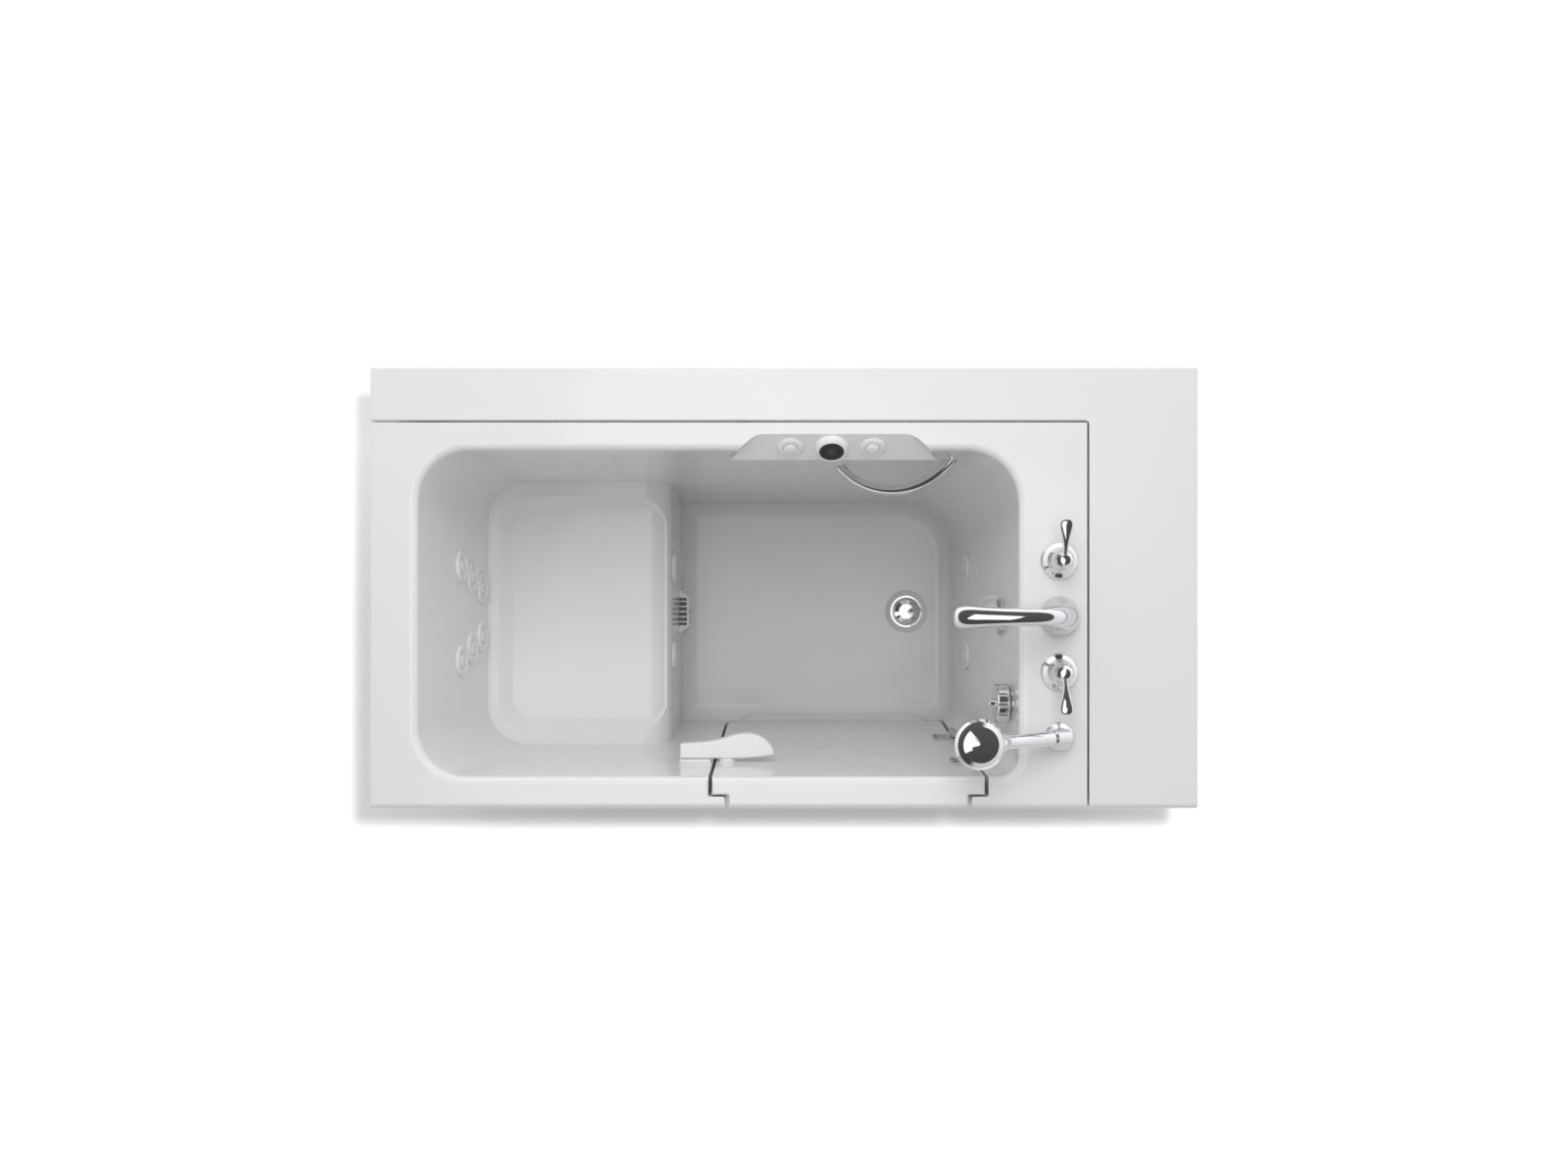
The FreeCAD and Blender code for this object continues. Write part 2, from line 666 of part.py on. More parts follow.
def make_deck_frame():
    """Light steel stand that carries the extension deck on the floor."""
    top = rim_height - acrylic
    x0 = deck_inner_x + acrylic + 1
    x1 = x_end - stand_clear - tube
    xl = x_left + stand_clear
    xm = (xl + x0) / 2
    y0 = frame_front
    y1 = y_wall - acrylic - 1 - tube
    posts = [(x1, y0), (x1, y1), (x0, y0), (x0, y1), (xl, y1), (xm, y1)]
    tubes = [square_tube((x, y, stand_foot), top - stand_foot, "Z") for x, y in posts]
    plates = [box(x - 5, x + tube + 5, y - 5, y + tube + 5, 0, stand_foot) for x, y in posts]
    inner_y = y0 + tube
    spans = ((xl + tube, xm), (xm + tube, x0), (x0 + tube, x1))
    for z in (60.0, top - tube):
        tubes += [square_tube((a, y1, z), b - a, "X") for a, b in spans]
        tubes.append(square_tube((x0 + tube, y0, z), x1 - x0 - tube, "X"))
        tubes.append(square_tube((x1, inner_y, z), y1 - inner_y, "Y"))
    return tubes + plates


def make_deck_panels():
    """Front panel under the deck, and the two that close its ends."""
    y0 = frame_front - panel_thick
    front = box(deck_inner_x - seam / 2 + panel_gap, x_end - acrylic - panel_gap, y0, frame_front,
                panel_bottom, panel_top)
    front = front.cut(box(x_right, deck_inner_x + acrylic + panel_gap, y0 - 1, frame_front + 1,
                          rim_height - skirt_height - panel_gap, rim_height))
    x1 = x_end - acrylic - panel_gap
    x0 = x_left + acrylic + panel_gap
    y1 = y_wall - acrylic - 1
    right = box(x1 - panel_thick, x1, frame_front + panel_gap, y1, panel_bottom, panel_top)
    left = box(x0, x0 + panel_thick, deck_inner_y + acrylic + panel_gap, y1, panel_bottom, panel_top)
    return front, right, left


# ---- jets ----
def make_jet_face(centre, normal):
    """Ring and directional nozzle, turned by hand to set the mix of air and water."""
    ring = revolve([(0, 0.2), (jet_radius, 0.2), (jet_radius, 2.2), (jet_radius - 3, jet_stand),
                    (jet_radius - 9, jet_stand + 0.5), (jet_radius - 15, 2.6), (13.5, 2.0), (11.5, jet_stand),
                    (8.0, jet_stand + 1.5), (5.5, jet_stand + 1.5), (5.0, 1.5), (0, 1.5)])
    slots = [turned(box(15, 19.5, -1.2, 1.2, 1.2, 8), (0, 0, 1), 30 * i) for i in range(12)]
    spigot = revolve([(0, -12), (17, -12), (17, 0.3), (0, 0.3)])
    bore = revolve([(0, -13), (4.6, -13), (4.6, 2), (0, 2)])
    return place(ring.cut(slots).fuse(spigot).cut(bore).removeSplitter(), centre, normal)


jet_body_depth = 46.0        # housing behind the wall
jet_body_radius = 21.6


def make_jet_body(centre, normal):
    """Jet housing clamped through the wall by its nut."""
    end = -acrylic - jet_body_depth
    floor = end + 12
    body = revolve([(0, end), (jet_body_radius, end), (jet_body_radius, -0.4), (17.3, -0.4), (17.3, floor),
                    (0, floor)])
    nut = revolve([(22.0, -acrylic - 13), (33, -acrylic - 13), (33, -acrylic - 0.3), (22.0, -acrylic - 0.3)])
    return place(body, centre, normal), place(nut, centre, normal)


# ---- suction, drain and overflow ----
def make_suction_cover():
    half = 50.0
    depth = 22.0
    x0 = seat_front + 0.3
    plate = prism_z([(x0, suction_y - half, 0), (x0 + depth, suction_y - half + 14, 4),
                     (x0 + depth, suction_y + half - 14, 4), (x0, suction_y + half, 0)],
                    suction_z - half, suction_z + half)
    plate = plate.cut(prism_z([(x0 - 1, suction_y - half + 18, 0), (x0 + depth - 4, suction_y - half + 18, 2),
                               (x0 + depth - 4, suction_y + half - 18, 2), (x0 - 1, suction_y + half - 18, 0)],
                              suction_z - half + 4, suction_z + half + 1))
    slots = [box(x0 + depth - 5, x0 + depth + 1, suction_y - 28, suction_y + 28, z - 2, z + 2)
             for z in [suction_z - 36 + 12 * i for i in range(7)]]
    grille = [box(x0 + 0.5, x0 + depth - 4, y - 1.5, y + 1.5, suction_z + half - 6, suction_z + half)
              for y in [suction_y - 24 + 12 * i for i in range(5)]]
    return plate.cut(slots).fuse(grille).removeSplitter()


def make_suction_fitting():
    start = (seat_front - acrylic, suction_y, suction_z)
    tube_part = revolve([(17, -50), (25.5, -50), (25.5, acrylic), (17, acrylic)], start, (1, 0, 0))
    flange = revolve([(25.5, -12), (38, -12), (38, -0.3), (25.5, -0.3)], start, (1, 0, 0))
    return tube_part.fuse(flange).removeSplitter()


sump_z = floor_height - sump_depth
stopper_radius = 34.0
stopper_rest = 2.5           # underside of the stopper's cap above the drain flange
drain_tail = 30.0            # length of the drain body below the sump
tail_radius = 23.0


def make_drain():
    """Strainer body through the floor, with a cross that guides the stopper's stem."""
    body = revolve([(19, -drain_tail), (tail_radius, -drain_tail), (tail_radius, 10 - drain_tail),
                    (24, 10 - drain_tail), (24, -acrylic - 0.2), (24, 0.2), (38, 0.2), (38, 1.2), (22, 2.0),
                    (19, 1.0)], (drain_x, drain_y, sump_z))
    spider = [box(drain_x - 19.5, drain_x + 19.5, drain_y - 1.5, drain_y + 1.5, sump_z - 26, sump_z - 20),
              box(drain_x - 1.5, drain_x + 1.5, drain_y - 19.5, drain_y + 19.5, sump_z - 26, sump_z - 20),
              cylinder(6, 12, (drain_x, drain_y, sump_z - 29), (0, 0, 1))]
    body = body.fuse(spider).cut(cylinder(3.06, 40, (drain_x, drain_y, sump_z - 35), (0, 0, 1)))
    nut = revolve([(24.4, -20), (34, -20), (34, -acrylic - 0.4), (24.4, -acrylic - 0.4)], (drain_x, drain_y, sump_z))
    return body.removeSplitter(), nut


def make_stopper():
    base = sump_z + stopper_rest
    cap = revolve([(0, base), (stopper_radius - 4, base), (stopper_radius, base + 1.5), (stopper_radius - 6, base + 4.5),
                   (stopper_radius - 16, base + 6.6), (0, base + 7.4)], (drain_x, drain_y, 0))
    stem = cylinder(3.0, base - sump_z + 29, (drain_x, drain_y, sump_z - 29), (0, 0, 1))
    ring = revolve([(10, base - 2.2), (17.5, base - 2.2), (17.5, base), (10, base)], (drain_x, drain_y, 0))
    return cap.fuse([stem, ring]).removeSplitter()


def knob_centre():
    return (wall_x_right(drain_knob_depth), drain_knob_y, rim_height - drain_knob_depth)


def make_drain_knob():
    """Turning handle of the cable-operated drain."""
    knob = revolve([(0, 3.5), (30, 3.5), (37, 5), (37.5, 8), (37.5, 26), (35.5, 28.5), (30, 29.5), (9, 30.5),
                    (6, 38), (4, 40), (0, 40)])
    scallops = [turned(cylinder(6, 30, (42, 0, 10), (0, 0, 1)), (0, 0, 1), 30 * i) for i in range(12)]
    stem = cylinder(6.0, 40, (0, 0, -36), (0, 0, 1))
    return place(knob.cut(scallops).fuse(stem).removeSplitter(), knob_centre(), right_normal)


def make_knob_seat():
    plate = revolve([(6.06, -30), (19.6, -30), (19.6, 0.3), (33, 0.3), (33, 2.0), (24, 3.2), (6.06, 3.2)])
    nut = revolve([(20.0, -acrylic - 12), (30, -acrylic - 12), (30, -acrylic - 0.3), (20.0, -acrylic - 0.3)])
    return place(plate, knob_centre(), right_normal), place(nut, knob_centre(), right_normal)


def overflow_centre():
    return (wall_x_right(overflow_depth), drain_y, rim_height - overflow_depth)


def make_overflow():
    cover = revolve([(0, 12), (30, 12), (36, 9), (37, 6), (37, 0.3), (34, 0.3), (34, 5), (30, 9), (0, 9)])
    slot = box(-40, -25, -18, 18, 0, 7)
    legs = [turned(cylinder(3, 12, (26, 0, -1.5), (0, 0, 1)), (0, 0, 1), 120 * i) for i in range(3)]
    cover = cover.cut(slot).fuse([leg.common(cylinder(40, 10, (0, 0, 0.3), (0, 0, 1))) for leg in legs])
    return place(cover.removeSplitter(), overflow_centre(), right_normal)


def bent_pipe(points, radius, bend, bore=0.0):
    """Pipe along straight runs with rounded bends."""
    vectors = [Vector(*p) for p in points]
    edges = []
    start = vectors[0]
    for i in range(1, len(vectors) - 1):
        corner = vectors[i]
        back = (vectors[i - 1] - corner).normalize()
        ahead = (vectors[i + 1] - corner).normalize()
        half = back.getAngle(ahead) / 2
        reach = bend / math.tan(half)
        first = corner + back * reach
        last = corner + ahead * reach
        middle = corner + (back + ahead).normalize() * (bend / math.sin(half) - bend)
        edges.append(Part.makeLine(start, first))
        edges.append(Part.Arc(first, middle, last).toShape())
        start = last
    edges.append(Part.makeLine(start, vectors[-1]))
    path = Part.Wire(edges)
    direction = vectors[1] - vectors[0]

    def sweep(r):
        ring = Part.Wire(Part.makeCircle(r, vectors[0], direction))
        return path.makePipeShell([ring], True, False)

    pipe = sweep(radius)
    return pipe.cut(sweep(bore)) if bore > 0 else pipe


# ---- spout, taps and hand shower on the deck ----
deck_gap = 0.3
handle_height = 46.0
handle_reach = 73.0
escutcheon_radius = 35.0
valve_below = 8.0            # from the handle down to the valve's gland
spindle_radius = 5.0
running = 0.05               # radial clearance of parts that turn or slide in each other


def ellipse_wire(centre, half_wide, half_high, tilt):
    """Ellipse across Y whose normal leans from +Z towards -X by tilt degrees."""
    if half_wide >= half_high:
        curve = Part.Ellipse(Vector(0, 0, 0), half_wide, half_high)
    else:
        curve = Part.Ellipse(Vector(0, 0, 0), half_high, half_wide)
    wire = Part.Wire(curve.toShape())
    if half_wide >= half_high:
        wire.rotate(Vector(0, 0, 0), Vector(0, 0, 1), 90)
    wire.rotate(Vector(0, 0, 0), Vector(0, 1, 0), -tilt)
    wire.translate(Vector(*centre))
    return wire


def make_spout():
    base = rim_height + deck_gap
    sections = [(tap_x, 8, 0, 36, 36), (tap_x, 22, 2, 33, 31), (tap_x - 2, 42, 12, 26, 23), (tap_x - 12, 64, 35, 21, 18),
                (tap_x - 34, 82, 62, 18, 15), (tap_x - 70, 91, 84, 16.8, 14), (tap_x - 115, 91, 95, 17.6, 13.5),
                (tap_x - 160, 84, 103, 19.8, 13), (tap_x - 188, 76, 107, 20.6, 12.4),
                (tap_x - 198, 72.5, 108, 17.5, 9.5), (tap_x - 202, 71, 109, 12.0, 5.5)]
    wires = [ellipse_wire((x, spout_y, base + z), wide, high, tilt) for x, z, tilt, wide, high in sections]
    body = Part.makeLoft(wires, True, False)
    foot = revolve([(0, 0), (37, 0), (37, 5), (36, 8), (0, 8)], (tap_x, spout_y, base))
    shank = cylinder(12, 60, (tap_x, spout_y, base - 60), (0, 0, 1))
    outlet = cylinder(10.5, 40, (tap_x - 178, spout_y, base + 44), (0, 0, 1))
    return body.fuse([foot, shank]).cut(outlet).removeSplitter()


def make_escutcheon(y):
    top = handle_height - 0.5
    neck = handle_height - valve_below
    return revolve([(16.2, 0), (escutcheon_radius, 0), (escutcheon_radius, 3), (32, 7), (24.5, 13), (19, 21),
                    (16.2, 31), (15.2, top), (spindle_radius + 1.5, top), (spindle_radius + 1.5, neck + 0.6),
                    (12.4, neck + 0.6), (12.4, 15), (16.2, 14)], (tap_x, y, rim_height + deck_gap))


def make_lever_handle(y, side):
    """Tap lever; side is +1 where it points to the wall and -1 where it points to the door."""
    base = rim_height + deck_gap + handle_height
    hub = revolve([(0, 0), (15, 0), (16.6, 2), (16.6, 8), (14.5, 13), (9, 16.5), (0, 17.5)], (tap_x, y, base))
    stem = cylinder(spindle_radius, handle_height + 30, (tap_x, y, base - handle_height - 30), (0, 0, 1))
    wires = []
    for reach, rise, wide, high in ((4, 9, 6.5, 5.0), (16, 15, 4.9, 4.2), (30, 20, 6.0, 4.0), (48, 24, 9.6, 4.2),
                                    (62, 26, 12.2, 4.4), (handle_reach - 3, 27, 10.4, 3.8),
                                    (handle_reach, 27.2, 6.0, 2.0)):
        ring = Part.Wire(Part.Ellipse(Vector(0, 0, 0), wide, high).toShape())
        ring.rotate(Vector(0, 0, 0), Vector(1, 0, 0), 90)
        ring.translate(Vector(tap_x, y + side * reach, base + rise))
        wires.append(ring)
    lever = Part.makeLoft(wires, True, False)
    return hub.fuse([stem, lever]).removeSplitter()


def make_valve_body(y):
    """Under-deck valve: threaded shank, body, and an inlet stub at the bottom."""
    top = rim_height + deck_gap + handle_height - valve_below
    bore = spindle_radius + running
    low = rim_height - 105
    body = revolve([(0, low), (20, low), (22, low + 6), (22, low + 54), (16, low + 60), (15.8, top - 26), (12, top - 24),
                    (12, top), (bore, top), (bore, low + 68), (0, low + 68)], (tap_x, y, 0))
    body = body.fuse(cylinder(10.5, 32, (tap_x, y, low - 30), (0, 0, 1)))
    return body.removeSplitter()


def deck_nut(y, radius, bore):
    under = rim_height - acrylic
    nut = revolve([(bore, under - 12), (radius, under - 12), (radius, under - 0.3), (bore, under - 0.3)], (tap_x, y, 0))
    return nut


def make_tap_pipes():
    """Two tails from the valves to the tee under the spout."""
    z = rim_height - 76
    pipes = [cylinder(7.5, abs(y - spout_y) - 22 - 18.3, (tap_x, min(y, spout_y) + (22.2 if y < spout_y else 18.1), z),
                      (0, 1, 0)) for y in (hot_y, cold_y)]
    tee = cylinder(18, 30, (tap_x, spout_y, z - 15), (0, 0, 1)).cut(cylinder(12.3, 40, (tap_x, spout_y, z - 10), (0, 0, 1)))
    return [tee] + pipes


shower_rise = 110.0
shower_head_x = tap_x - 160.4
shower_head_y = shower_y - 4.0
shower_socket_z = rim_height + 26.0
shower_axis = unit(shower_head_x - tap_x, shower_head_y - shower_y, rim_height + shower_rise - shower_socket_z)
shower_tail = 10.0


def make_shower_holder():
    socket = (tap_x, shower_y, shower_socket_z)
    base = revolve([(0, 0), (27, 0), (27, 4), (24, 8), (17, 13), (15, 20), (15, 26), (0, 26)],
                   (tap_x, shower_y, rim_height + deck_gap))
    cup = cylinder(15.5, 34, point_along(socket, shower_axis, -14), shower_axis)
    cup = fillet_where(cup, 3.0, lambda e: e.Length > 80)
    bore = cylinder(shower_tail + running, 60, point_along(socket, shower_axis, -8), shower_axis)
    shank = revolve([(0, -50), (10, -50), (10, -20), (12, -20), (12, 2), (0, 2)], (tap_x, shower_y, rim_height))
    return base.fuse([cup, shank]).cut(bore).removeSplitter()


def make_handset():
    socket = (tap_x, shower_y, shower_socket_z)
    tail = cylinder(shower_tail, 30, point_along(socket, shower_axis, -7.7), shower_axis)
    grip = revolve([(0, 20.5), (13.2, 20.5), (14.2, 24), (13.6, 45), (12.8, 80), (12.6, 110), (13.5, 128), (0, 140)],
                   socket, shower_axis)
    head_z = rim_height + shower_rise
    head = revolve([(0, -13), (40, -13), (44, -11), (46, -6), (45.5, 0), (41, 6), (32, 11), (18, 14.5), (0, 16)],
                   (shower_head_x, shower_head_y, head_z), unit(0.10, 0.0, 1.0))
    wires = []
    for back, half in ((62, 12.8), (46, 16), (30, 24), (16, 33)):
        centre = (shower_head_x + back, shower_head_y + back * 0.026, head_z - back * 0.55 * max(0, (back - 16) / 46))
        wires.append(ellipse_wire(centre, half, 12.6 - (62 - back) * 0.06, 84))
    neck = Part.makeLoft(wires, True, False)
    return fuse_all([tail, grip, neck, head])


# ---- grab bar ----
def make_grab_bar(mould):
    first, last = [Vector(*p) for p in bar_end_points()]
    middle = (first + last) * 0.5 + Vector(0, -bar_stand, 0)
    path = Part.Arc(first, middle, last)
    start = path.value(path.FirstParameter)
    ring = Part.Wire(Part.makeCircle(bar_radius, start, path.tangent(path.FirstParameter)[0]))
    bar = Part.Wire(path.toShape()).makePipeShell([ring], True, False)
    over = [cylinder(bar_radius, 16, tuple(p - Vector(*back_normal) * 12), back_normal) for p in (first, last)]
    bar = bar.fuse(over).cut(mould)
    studs = [cylinder(stud_radius, 44, tuple(p - Vector(*back_normal) * 34), back_normal) for p in (first, last)]
    nuts = []
    for p in (first, last):
        nut = revolve([(stud_radius + deck_gap, 0), (11, 0), (11, 9), (stud_radius + deck_gap, 9)],
                      tuple(p - Vector(*back_normal) * (acrylic + 9.3)), back_normal)
        nuts.append(nut)
    return bar.fuse(studs).removeSplitter(), nuts


# ---- control panel ----
button_radius = 12.6
button_travel = 3.0


def console_point(x):
    return (x, console_mid[0], console_mid[1])


def make_button_collar(x):
    ring = revolve([(button_radius + 0.4, 0.2), (24.5, 0.2), (24.5, 1.8), (21.5, 4.2), (16, 5.2),
                    (button_radius + 0.4, 4.0)])
    return place(ring, console_point(x), console_normal)


def make_button(x):
    cap = revolve([(0, button_travel + 0.6), (button_radius, button_travel + 0.6), (button_radius, 6.2), (10.5, 8.2),
                   (6, 9.4), (0, 9.8)])
    stem = cylinder(8.0, 26, (0, 0, -20), (0, 0, 1))
    return place(cap.fuse(stem).removeSplitter(), console_point(x), console_normal)


def make_button_base(x):
    """Air switch behind the rim that the button's stem presses."""
    top = -1.2 * acrylic
    cup = revolve([(0, -34), (12, -34), (12, top), (8.0 + running, top), (8.0 + running, -26), (0, -26)])
    return place(cup, console_point(x), console_normal)


def make_display():
    bezel = revolve([(0, 0.2), (32, 0.2), (32, 3), (30, 9), (26.5, 12.5), (23.2, 13), (23.2, 9.8), (0, 9.8)])
    stem = cylinder(13.5, 30, (0, 0, -29), (0, 0, 1))
    glass = revolve([(0, 10.0), (22.9, 10.0), (22.9, 11.6), (21, 12.2), (0, 12.6)])
    centre = console_point(display_x)
    return (place(bezel.fuse(stem).removeSplitter(), centre, console_normal), place(glass, centre, console_normal))


# ---- latch ----
latch_depth = 197.0
latch_x = door_left + 20.7
latch_stand = 8.0            # underside of the lever above the wall
spindle_reach = 24.0         # how far the spindle goes into the leaf
latch_height = 32.0
lever_left = jamb_left - 63.9
lever_right = latch_x + 92.0
lever_bulge = 57.0


def on_front_wall(shape, x, depth):
    """Put a shape drawn at the origin, with +Y off the wall, onto the sloping front wall."""
    shape = turned(shape, (1, 0, 0), math.degrees(math.atan(draft_front)))
    return moved(shape, x, wall_y_front(depth), rim_height - depth)


def make_latch_lever():
    left = lever_left - latch_x
    right = lever_right - latch_x
    top = Part.BSplineCurve()
    top.interpolate([Vector(left + 4, 37, 0), Vector(left + 32, 39, 0), Vector(-22, 43, 0), Vector(12, 53, 0),
                     Vector(41, lever_bulge, 0), Vector(68, 50, 0), Vector(right - 6, 34, 0), Vector(right, 18, 0)])
    edges = [Part.makeLine((left + 2, latch_stand, 0), (left, latch_stand + 2, 0)),
             Part.makeLine((left, latch_stand + 2, 0), (left, 32, 0)),
             Part.Arc(Vector(left, 32, 0), Vector(left + 1, 35.2, 0), Vector(left + 4, 37, 0)).toShape(),
             top.toShape(),
             Part.Arc(Vector(right, 18, 0), Vector(right - 1, 14.8, 0), Vector(right - 4, 14, 0)).toShape(),
             Part.Arc(Vector(right - 4, 14, 0), Vector(52, latch_stand + 1.8, 0), Vector(10, latch_stand, 0)).toShape(),
             Part.makeLine((10, latch_stand, 0), (left + 2, latch_stand, 0))]
    lever = Part.Face(Part.Wire(edges)).extrude(Vector(0, 0, latch_height))
    lever.translate(Vector(0, 0, -latch_height / 2))
    lever = fillet_where(lever, 3.0, lambda e: abs(abs(e.CenterOfMass.z) - latch_height / 2) < 0.01)
    spindle = cylinder(spindle_radius, spindle_reach + 12, (0, -spindle_reach, 0), (0, 1, 0))
    return on_front_wall(lever.fuse(spindle).removeSplitter(), latch_x, latch_depth)


def make_latch_rosette():
    bore = spindle_radius + running
    top = latch_stand - 0.4
    rosette = revolve([(bore, 0.2), (17, 0.2), (17, top - 1.6), (15, top), (bore, top)], (0, 0, 0), (0, 1, 0))
    bush = revolve([(bore, 2 - spindle_reach), (8.6, 2 - spindle_reach), (8.6, 0.2), (bore, 0.2)],
                   (0, 0, 0), (0, 1, 0))
    return on_front_wall(rosette.fuse(bush).removeSplitter(), latch_x, latch_depth)


def make_latch_strike():
    """Pad on the fixed wall that the lever's tail lies over."""
    x0 = lever_left - 1.9
    x1 = jamb_left - 2.5
    pad = prism_y([(x0, -19, 8), (x1, -19, 8), (x1, 19, 8), (x0, 19, 8)], 0.2, latch_stand - 1)
    return on_front_wall(pad, 0, latch_depth)


# ---- hinges ----
hinge_x = (door_right + jamb_right) / 2
hinge_y = wall_y_front(basin_depth) + door_knuckle_inset
hinge_depths = (150.0, 510.0)
hinge_height = 72.0
knuckle_radius = 7.5
pin_radius = 3.0


def hinge_block(side, z0, z1, bore):
    """Block from the wall to the knuckle; side +1 stands on the fixed wall and -1 on the leaf."""
    wall = y_rebate + 20
    inner = hinge_x + side * (door_gap / 2 + 1)
    web = prism_z([(inner, wall, 0), (hinge_x + side * 36, wall, 0), (hinge_x + side * 36, wall + 18, 6),
                   (hinge_x + side * 6, hinge_y + 5, 2), (hinge_x, hinge_y + 5, 0), (hinge_x, hinge_y - 4, 0),
                   (inner, hinge_y - 9, 2)], z0, z1)
    knuckle = cylinder(knuckle_radius, z1 - z0, (hinge_x, hinge_y, z0), (0, 0, 1))
    return web.fuse(knuckle).cut(cylinder(bore, z1 - z0 + 2, (hinge_x, hinge_y, z0 - 1), (0, 0, 1)))


def make_hinge(depth, mould):
    top = rim_height - depth
    low = top - hinge_height
    third = hinge_height / 3
    bore = pin_radius + running
    frame_part = [hinge_block(1, low, low + third - 0.3, bore), hinge_block(1, top - third + 0.3, top, bore)]
    plate = prism_z([(jamb_right + 1.2, y_rebate + 20, 0), (hinge_x + 44, y_rebate + 20, 0),
                     (hinge_x + 44, y_rebate + 60, 0), (jamb_right + 1.2, y_rebate + 60, 0)], low, top)
    skin = mould.copy()
    skin.translate(Vector(0, 4, 0))
    plate = plate.common(skin)
    wall = [mould, moved(mould, -deck_gap, deck_gap)]
    frame_leaf = fuse_all(frame_part + [plate]).cut(wall).removeSplitter()
    door_leaf = hinge_block(-1, low + third + 0.3, top - third - 0.3, bore)
    door_plate = prism_z([(hinge_x - 44, y_rebate + 20, 0), (door_right - 1.2, y_rebate + 20, 0),
                          (door_right - 1.2, y_rebate + 60, 0), (hinge_x - 44, y_rebate + 60, 0)], low, top)
    door_leaf = fuse_all([door_leaf, door_plate.common(skin)]).cut(wall).removeSplitter()
    pin = cylinder(pin_radius, hinge_height + 2, (hinge_x, hinge_y, low - 2), (0, 0, 1))
    head = revolve([(0, top), (6, top), (6, top + 1.5), (4, top + 3.5), (0, top + 3.5)], (hinge_x, hinge_y, 0))
    return frame_leaf, door_leaf, pin.fuse(head).removeSplitter()


# ---- pump, blower and pipes ----
pump_x = seat_front - 210.0
pump_y = basin_y - 4.2
pump_axis_z = rail_z + 129.0
motor_radius = 60.0
pipe_radius = 16.0
branch_radius = 11.0
suction_radius = 20.0


def make_pump():
    """Wet end, finned motor and base plate, in line along Y."""
    y0 = pump_y - 60
    wet = revolve([(0, 0), (38, 0), (74, 14), (78, 26), (78, 44), (70, 56), (0, 56)], (pump_x, y0, pump_axis_z), (0, 1, 0))
    inlet = cylinder(24, 40, (pump_x, y0 + 1, pump_axis_z), (0, -1, 0))
    outlet = cylinder(22, 50, (pump_x + 50, y0 + 35, pump_axis_z + 48), (0, 0, 1))
    wet = wet.fuse([inlet, outlet]).removeSplitter()
    start = y0 + 56.3
    motor = revolve([(0, 0), (64, 0), (64, 10), (motor_radius, 12), (motor_radius, 150), (63, 152), (63, 170), (54, 184),
                     (0, 184)], (pump_x, start, pump_axis_z), (0, 1, 0))
    fins = [turned(box(motor_radius - 2, motor_radius + 5, -1.5, 1.5, 16, 146), (0, 0, 1), 15 * i) for i in range(-5, 18)]
    fins = [place(fin, (pump_x, start, pump_axis_z), (0, 1, 0)) for fin in fins]
    box_body = box(pump_x - 34, pump_x + 34, start + 40, start + 120, pump_axis_z + motor_radius - 6,
                   pump_axis_z + motor_radius + 34)
    motor = motor.fuse(fins + [box_body]).removeSplitter()
    floor = rail_z + tube + 0.3
    plate = box(pump_x - 60, pump_x + 60, y0 - 10, start + 170, floor, floor + 6)
    saddles = []
    for y, radius in ((y0 + 26, 78.3), (start + 60, motor_radius + 5.3)):
        saddle = box(pump_x - 42, pump_x + 42, y, y + 16, floor + 6, pump_axis_z - 30)
        saddles.append(saddle.cut(cylinder(radius, 40, (pump_x, y - 10, pump_axis_z), (0, 1, 0))))
    bars = [box(seat_frame_xs[0] + tube, seat_frame_xs[1], y, y + 30, floor - tube, floor - 0.3)
            for y in (y0 + 10, start + 120)]
    return wet, motor, fuse_all([plate] + saddles), bars


blower_x = x_left + 102.0
blower_y = basin_y - 9.2


def make_blower():
    """Air blower, and the tray that carries it on two cross rails."""
    x = blower_x
    y = blower_y
    floor = rail_z + tube
    tray = box(frame_left, seat_frame_xs[0] + tube, y - 62, y + 62, floor, floor + 4)
    body = revolve([(0, 0.3), (46, 0.3), (50, 8), (50, 70), (58, 78), (58, 96), (46, 108), (20, 116), (0, 116)],
                   (x, y, floor + 4))
    spout = cylinder(15, 80, (x, y, floor + 90), (1, 0, 0))
    return body.fuse(spout).removeSplitter(), tray


def jet_back(place_data):
    """Axis of the pipe that runs behind a jet's housing."""
    _, centre, normal = place_data
    return point_along(centre, normal, -(acrylic + jet_body_depth + branch_radius + deck_gap))


